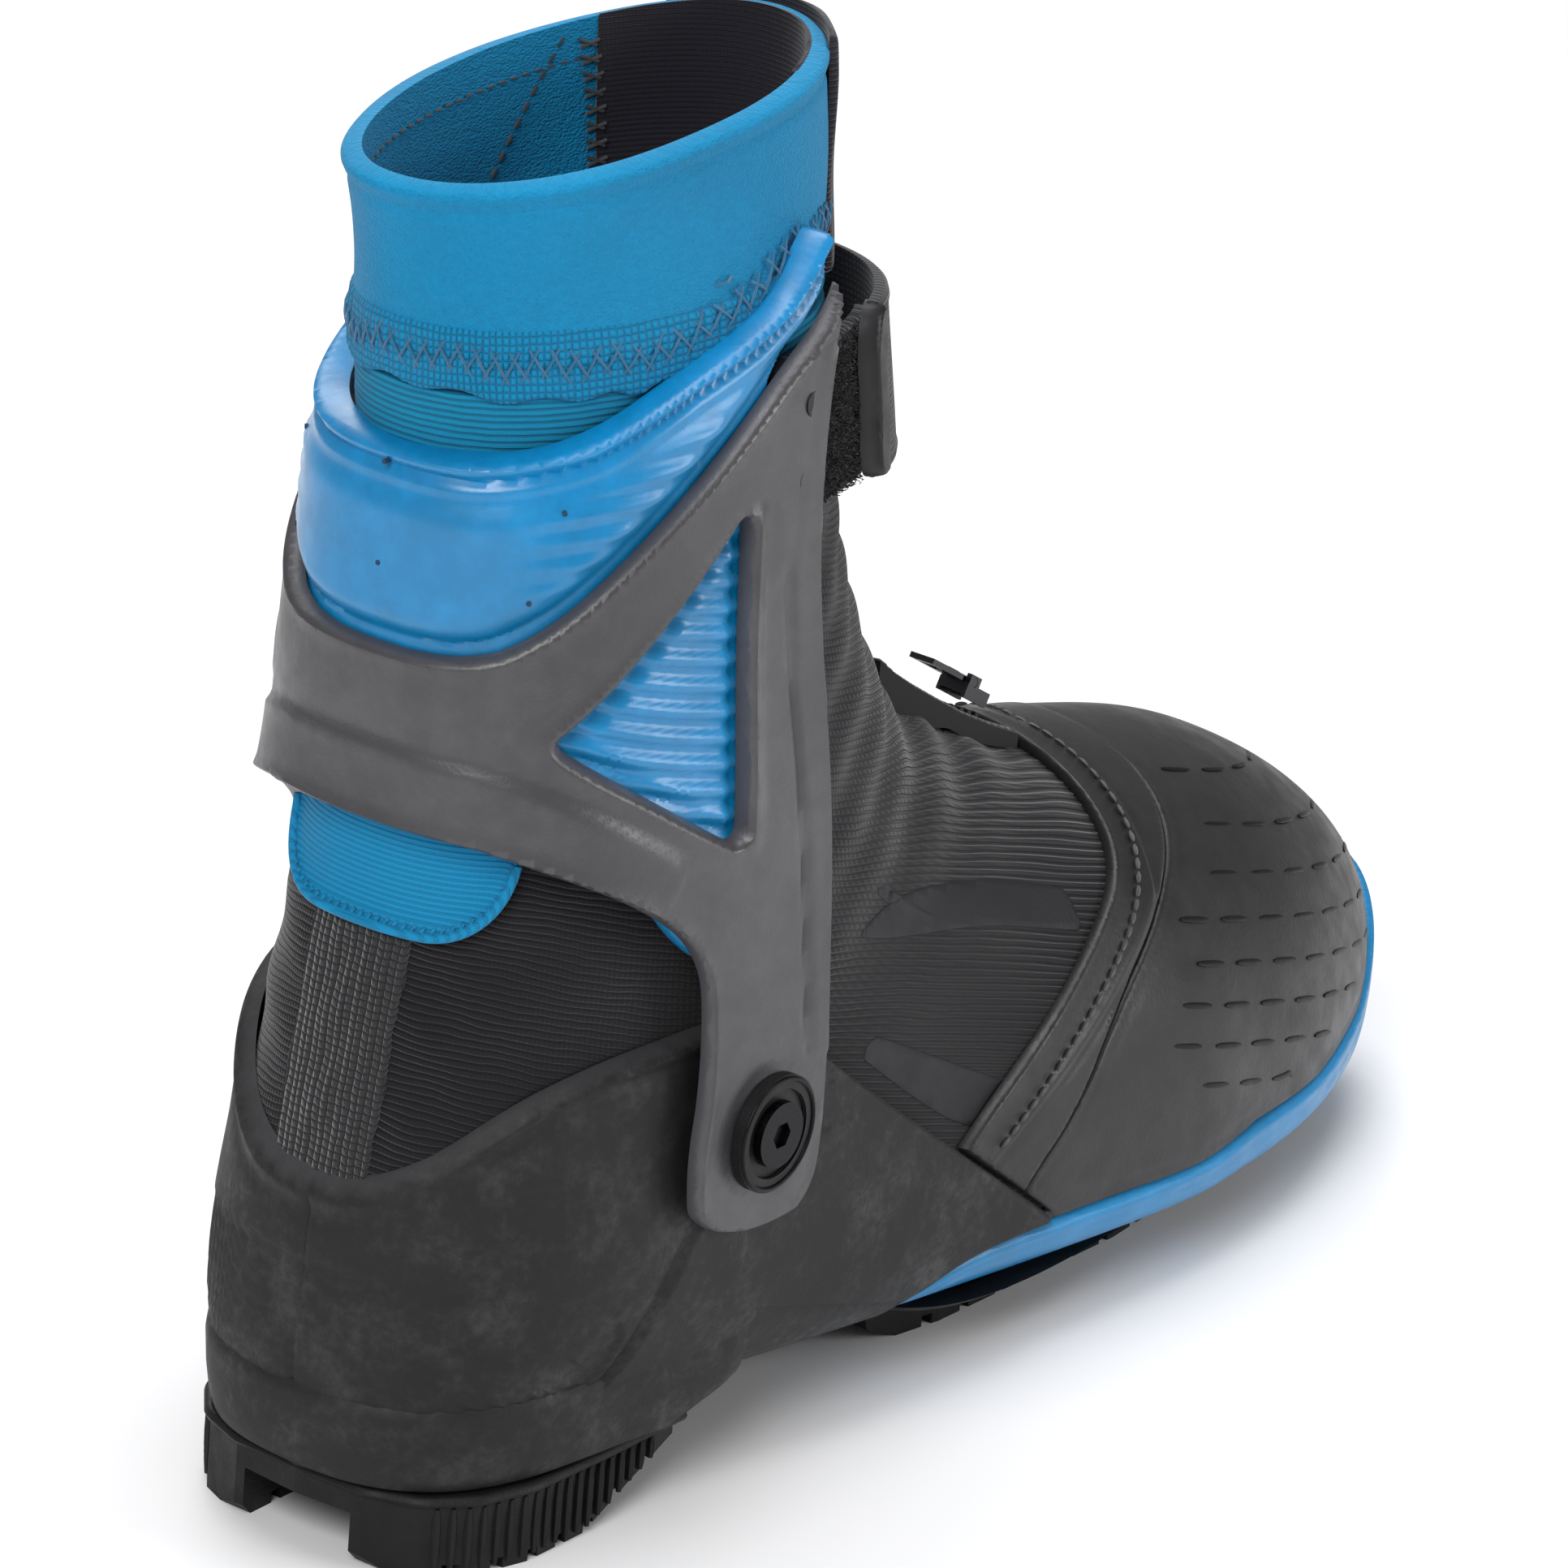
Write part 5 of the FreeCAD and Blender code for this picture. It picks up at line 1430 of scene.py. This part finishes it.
class BOOT_OT_hardware(bpy.types.Operator):
    """Dresses the pivot hardware and adds its turned rings"""
    bl_idname = "boot.hardware"
    bl_label = "Pivot hardware"

    def execute(self, context):
        dark = metal("anodised black", (.016, .016, .018), .4)
        dress_node("pivot_caps", moulded("pivot cap nylon", (.0022, .0022, .0024), (.006, .006, .0066),
                                         .01, (.4, .5), specular=.22))
        dress_node("pivot_screws", dark)
        dress_node("pivot_nuts", metal("nut steel", (.55, .55, .57), .35))
        dress_node("pivot_bushings", metal("bush bronze", (.55, .42, .22), .4))
        dress_node("strap_rivets", metal("rivet black", (.045, .045, .05), .42))
        parts = []
        for side in (-1, 1):
            angle = np.linspace(0, 2 * math.pi, 64, endpoint=False)
            for radius, thick, level in ((9.35, .42, 46.95), (7.75, .3, 46.3)):
                ring = np.stack([PIVOT[0] + radius * np.cos(angle), np.full(64, side * level),
                                 PIVOT[1] + radius * np.sin(angle)], 1)
                parts.append(tube(ring, thick, 8, closed=True, up=(0, 1, 0)))
        finish_piece(join_parts("pivot_cap_rings", parts), dark, "boot")
        return {"FINISHED"}


class BOOT_OT_strap(bpy.types.Operator):
    """Makes the instep strap, its tip, the hook and loop faces and their anchors"""
    bl_idname = "boot.strap"
    bl_label = "Instep strap"

    def execute(self, context):
        web = cloth("strap cloth", (.012, .011, .014), "Boot Ribbed Cloth", .00025, low=.5, high=1.7,
                    Pitch=.0011, Loop=.0013)
        tip = coated("strap tip", (.004, .004, .005), .4, .0008, .00004, wear_and_highlight=.2, lift=1.5, specular=.25)
        pile = cloth("loop pile", (.016, .016, .018), "Boot Jersey", .0005, low=.4, high=1.8, Size=.0009)

        def slab_of(name, outline, side, hi, lo, material, rides, stands, round_at=.6, wave=0.0):
            fields = [inside_outline(outline, 2.5)]
            if side:
                fields.append(lambda p: side * p[:, 1] - .2)
            turns = even_turns(cuff_skin, 180, 520)
            patch = cuff_patch(every(*fields), 160, 205, 1.0, turns)

            def lift(p, uv, edge):
                return hi + wave * np.sin(p[:, 1] * .24 + p[:, 2] * .1)
            return finish_piece(patch.solid(name, lift, lo, round_at), material, rides, stands)

        def web_outer(p, uv, edge):
            return -.1 + .22 * peak(edge - 1.6, .6) + .2 * np.sin(p[:, 1] * .2)
        web_outline = [(97.6, 168), (140, 168), (140, 197), (97.6, 197)]
        fields = every(inside_outline(web_outline, 2.5),
                       lambda p: np.where(p[:, 1] > 0, 50, p[:, 0] - 101.2))
        patch = cuff_patch(fields, 165, 200, .8, even_turns(cuff_skin, 180, 620))
        piece = patch.solid("strap_webbing", web_outer, -2.0, .7)
        finish_piece(piece, web, "strap", ("strap_band",))
        end = [(97.6, 172), (99.4, 168.4), (104.5, 168), (104.5, 197), (99.4, 196.6), (97.2, 190),
               (98.2, 181)]
        slab_of("strap_end", end, -1, .75, -2.4, tip, "strap", ("strap_tip",), 1.2, .1)
        hook = [(98.6, 170), (116, 170), (116, 192), (98.6, 192)]
        slab_of("strap_hooks", hook, -1, -2.3, -3.1, pile, "strap", ("strap_hook_patch",), .3)
        loop = [(72, 168), (112, 168), (112, 194), (72, 194)]
        slab_of("loop_strip", loop, -1, -3.45, -5.1, pile, "cuff", ("strap_loop_strip",))
        anchor = [(72, 168), (99, 168), (99, 194), (72, 194)]
        slab_of("strap_anchor_cloth", anchor, 1, -3.45, -5.1, web, "cuff", ("strap_anchor",))
        draw = random.Random(7)
        parts = []
        for _ in range(PILE_FIBRES):
            x, z = draw.uniform(83.5, 99.5), draw.uniform(168.5, 193.5)
            parts.append((x, z, draw.uniform(0, 2 * math.pi), draw.uniform(.5, 1.5), draw.uniform(.35, .8)))
        table = np.array(parts)
        root, uv = on_surface(cuff_skin, table[:, 0], table[:, 1], -1, -3.5)
        out = cuff_skin(uv[:, 0], uv[:, 1], -2.5) - root
        loops = []
        for k, (angle, tall, wide) in enumerate(table[:, 2:]):
            lean = np.array([math.cos(angle), 0, math.sin(angle)]) * wide
            a = root[k]
            loops.append(tube([a, a + out[k] * tall * .7 + lean * .2, a + out[k] * tall + lean * .8,
                               a + out[k] * tall * .55 + lean * 1.5], .085, 3))
        finish_piece(join_parts("loop_pile_fibres", loops), pile, "cuff")
        return {"FINISHED"}


class BOOT_OT_zip(bpy.types.Operator):
    """Dresses the zip and adds the stitching and braided cord along its cover"""
    bl_idname = "boot.zip"
    bl_label = "Zip"

    def execute(self, context):
        dress_node("zip_placket", cloth("zip tape", (.012, .012, .014), "Boot Jersey", .0002, Size=.0008))
        dress_node("zip_teeth", coated("zip teeth nylon", (.02, .02, .022), .35))
        dress_node("zip_slider", metal("slider black", (.06, .06, .065), .3))
        dress_node("zip_pull", metal("pull black", (.06, .06, .065), .32))
        thread = two_tone("zip thread", (.012, .012, .014), (.05, .05, .055), .6)
        line = resample([(148, 117.2), (152, 113.9), (158, 110.0), (166, 105.2), (174, 100.6), (182, 96.6),
                         (190, 93.0)], 1.2)
        parts = []
        for y, drop in ((-2.6, 1.5), (12.6, 1.2)):
            path = np.stack([line[:, 0], np.full(len(line), y), line[:, 1] - drop], 1)
            for k in range(len(path) - 1):
                a, b = path[k], path[k + 1]
                across = np.array([0, 1.1 * (1 if k % 2 else -1), 0])
                parts.append(tube([a - across, (a + b) / 2 + np.array([0, 0, .35]), b + across], .36, 6))
        finish_piece(join_parts("zip_braid", parts), thread, "boot")
        return {"FINISHED"}


OPERATORS = [BOOT_OT_stage, BOOT_OT_upper, BOOT_OT_lining, BOOT_OT_collar, BOOT_OT_heel,
             BOOT_OT_chassis, BOOT_OT_toe, BOOT_OT_cuff, BOOT_OT_pad, BOOT_OT_sole,
             BOOT_OT_hardware, BOOT_OT_strap, BOOT_OT_zip]


class BOOT_PT_panel(bpy.types.Panel):
    """Lists the boot's colours, sizes and build steps"""
    bl_label = "Cross country boot"
    bl_idname = "BOOT_PT_panel"
    bl_space_type = "VIEW_3D"
    bl_region_type = "UI"
    bl_category = "Boot"

    def draw(self, context):
        for group in (context.scene.boot_colours, context.scene.boot_sizes):
            for name in group.__annotations__:
                self.layout.prop(group, name)
        for kind in OPERATORS:
            self.layout.operator(kind.bl_idname)


CLASSES = [BootColours, BootSizes, *OPERATORS, BOOT_PT_panel]


def register():
    for kind in CLASSES:
        bpy.utils.register_class(kind)
    bpy.types.Scene.boot_colours = PointerProperty(type=BootColours)
    bpy.types.Scene.boot_sizes = PointerProperty(type=BootSizes)


def unregister():
    del bpy.types.Scene.boot_sizes
    del bpy.types.Scene.boot_colours
    for kind in reversed(CLASSES):
        bpy.utils.unregister_class(kind)


def main():
    register()
    for kind in OPERATORS:
        group, step = kind.bl_idname.split(".")
        getattr(getattr(bpy.ops, group), step)()


if __name__ == "__main__":
    main()
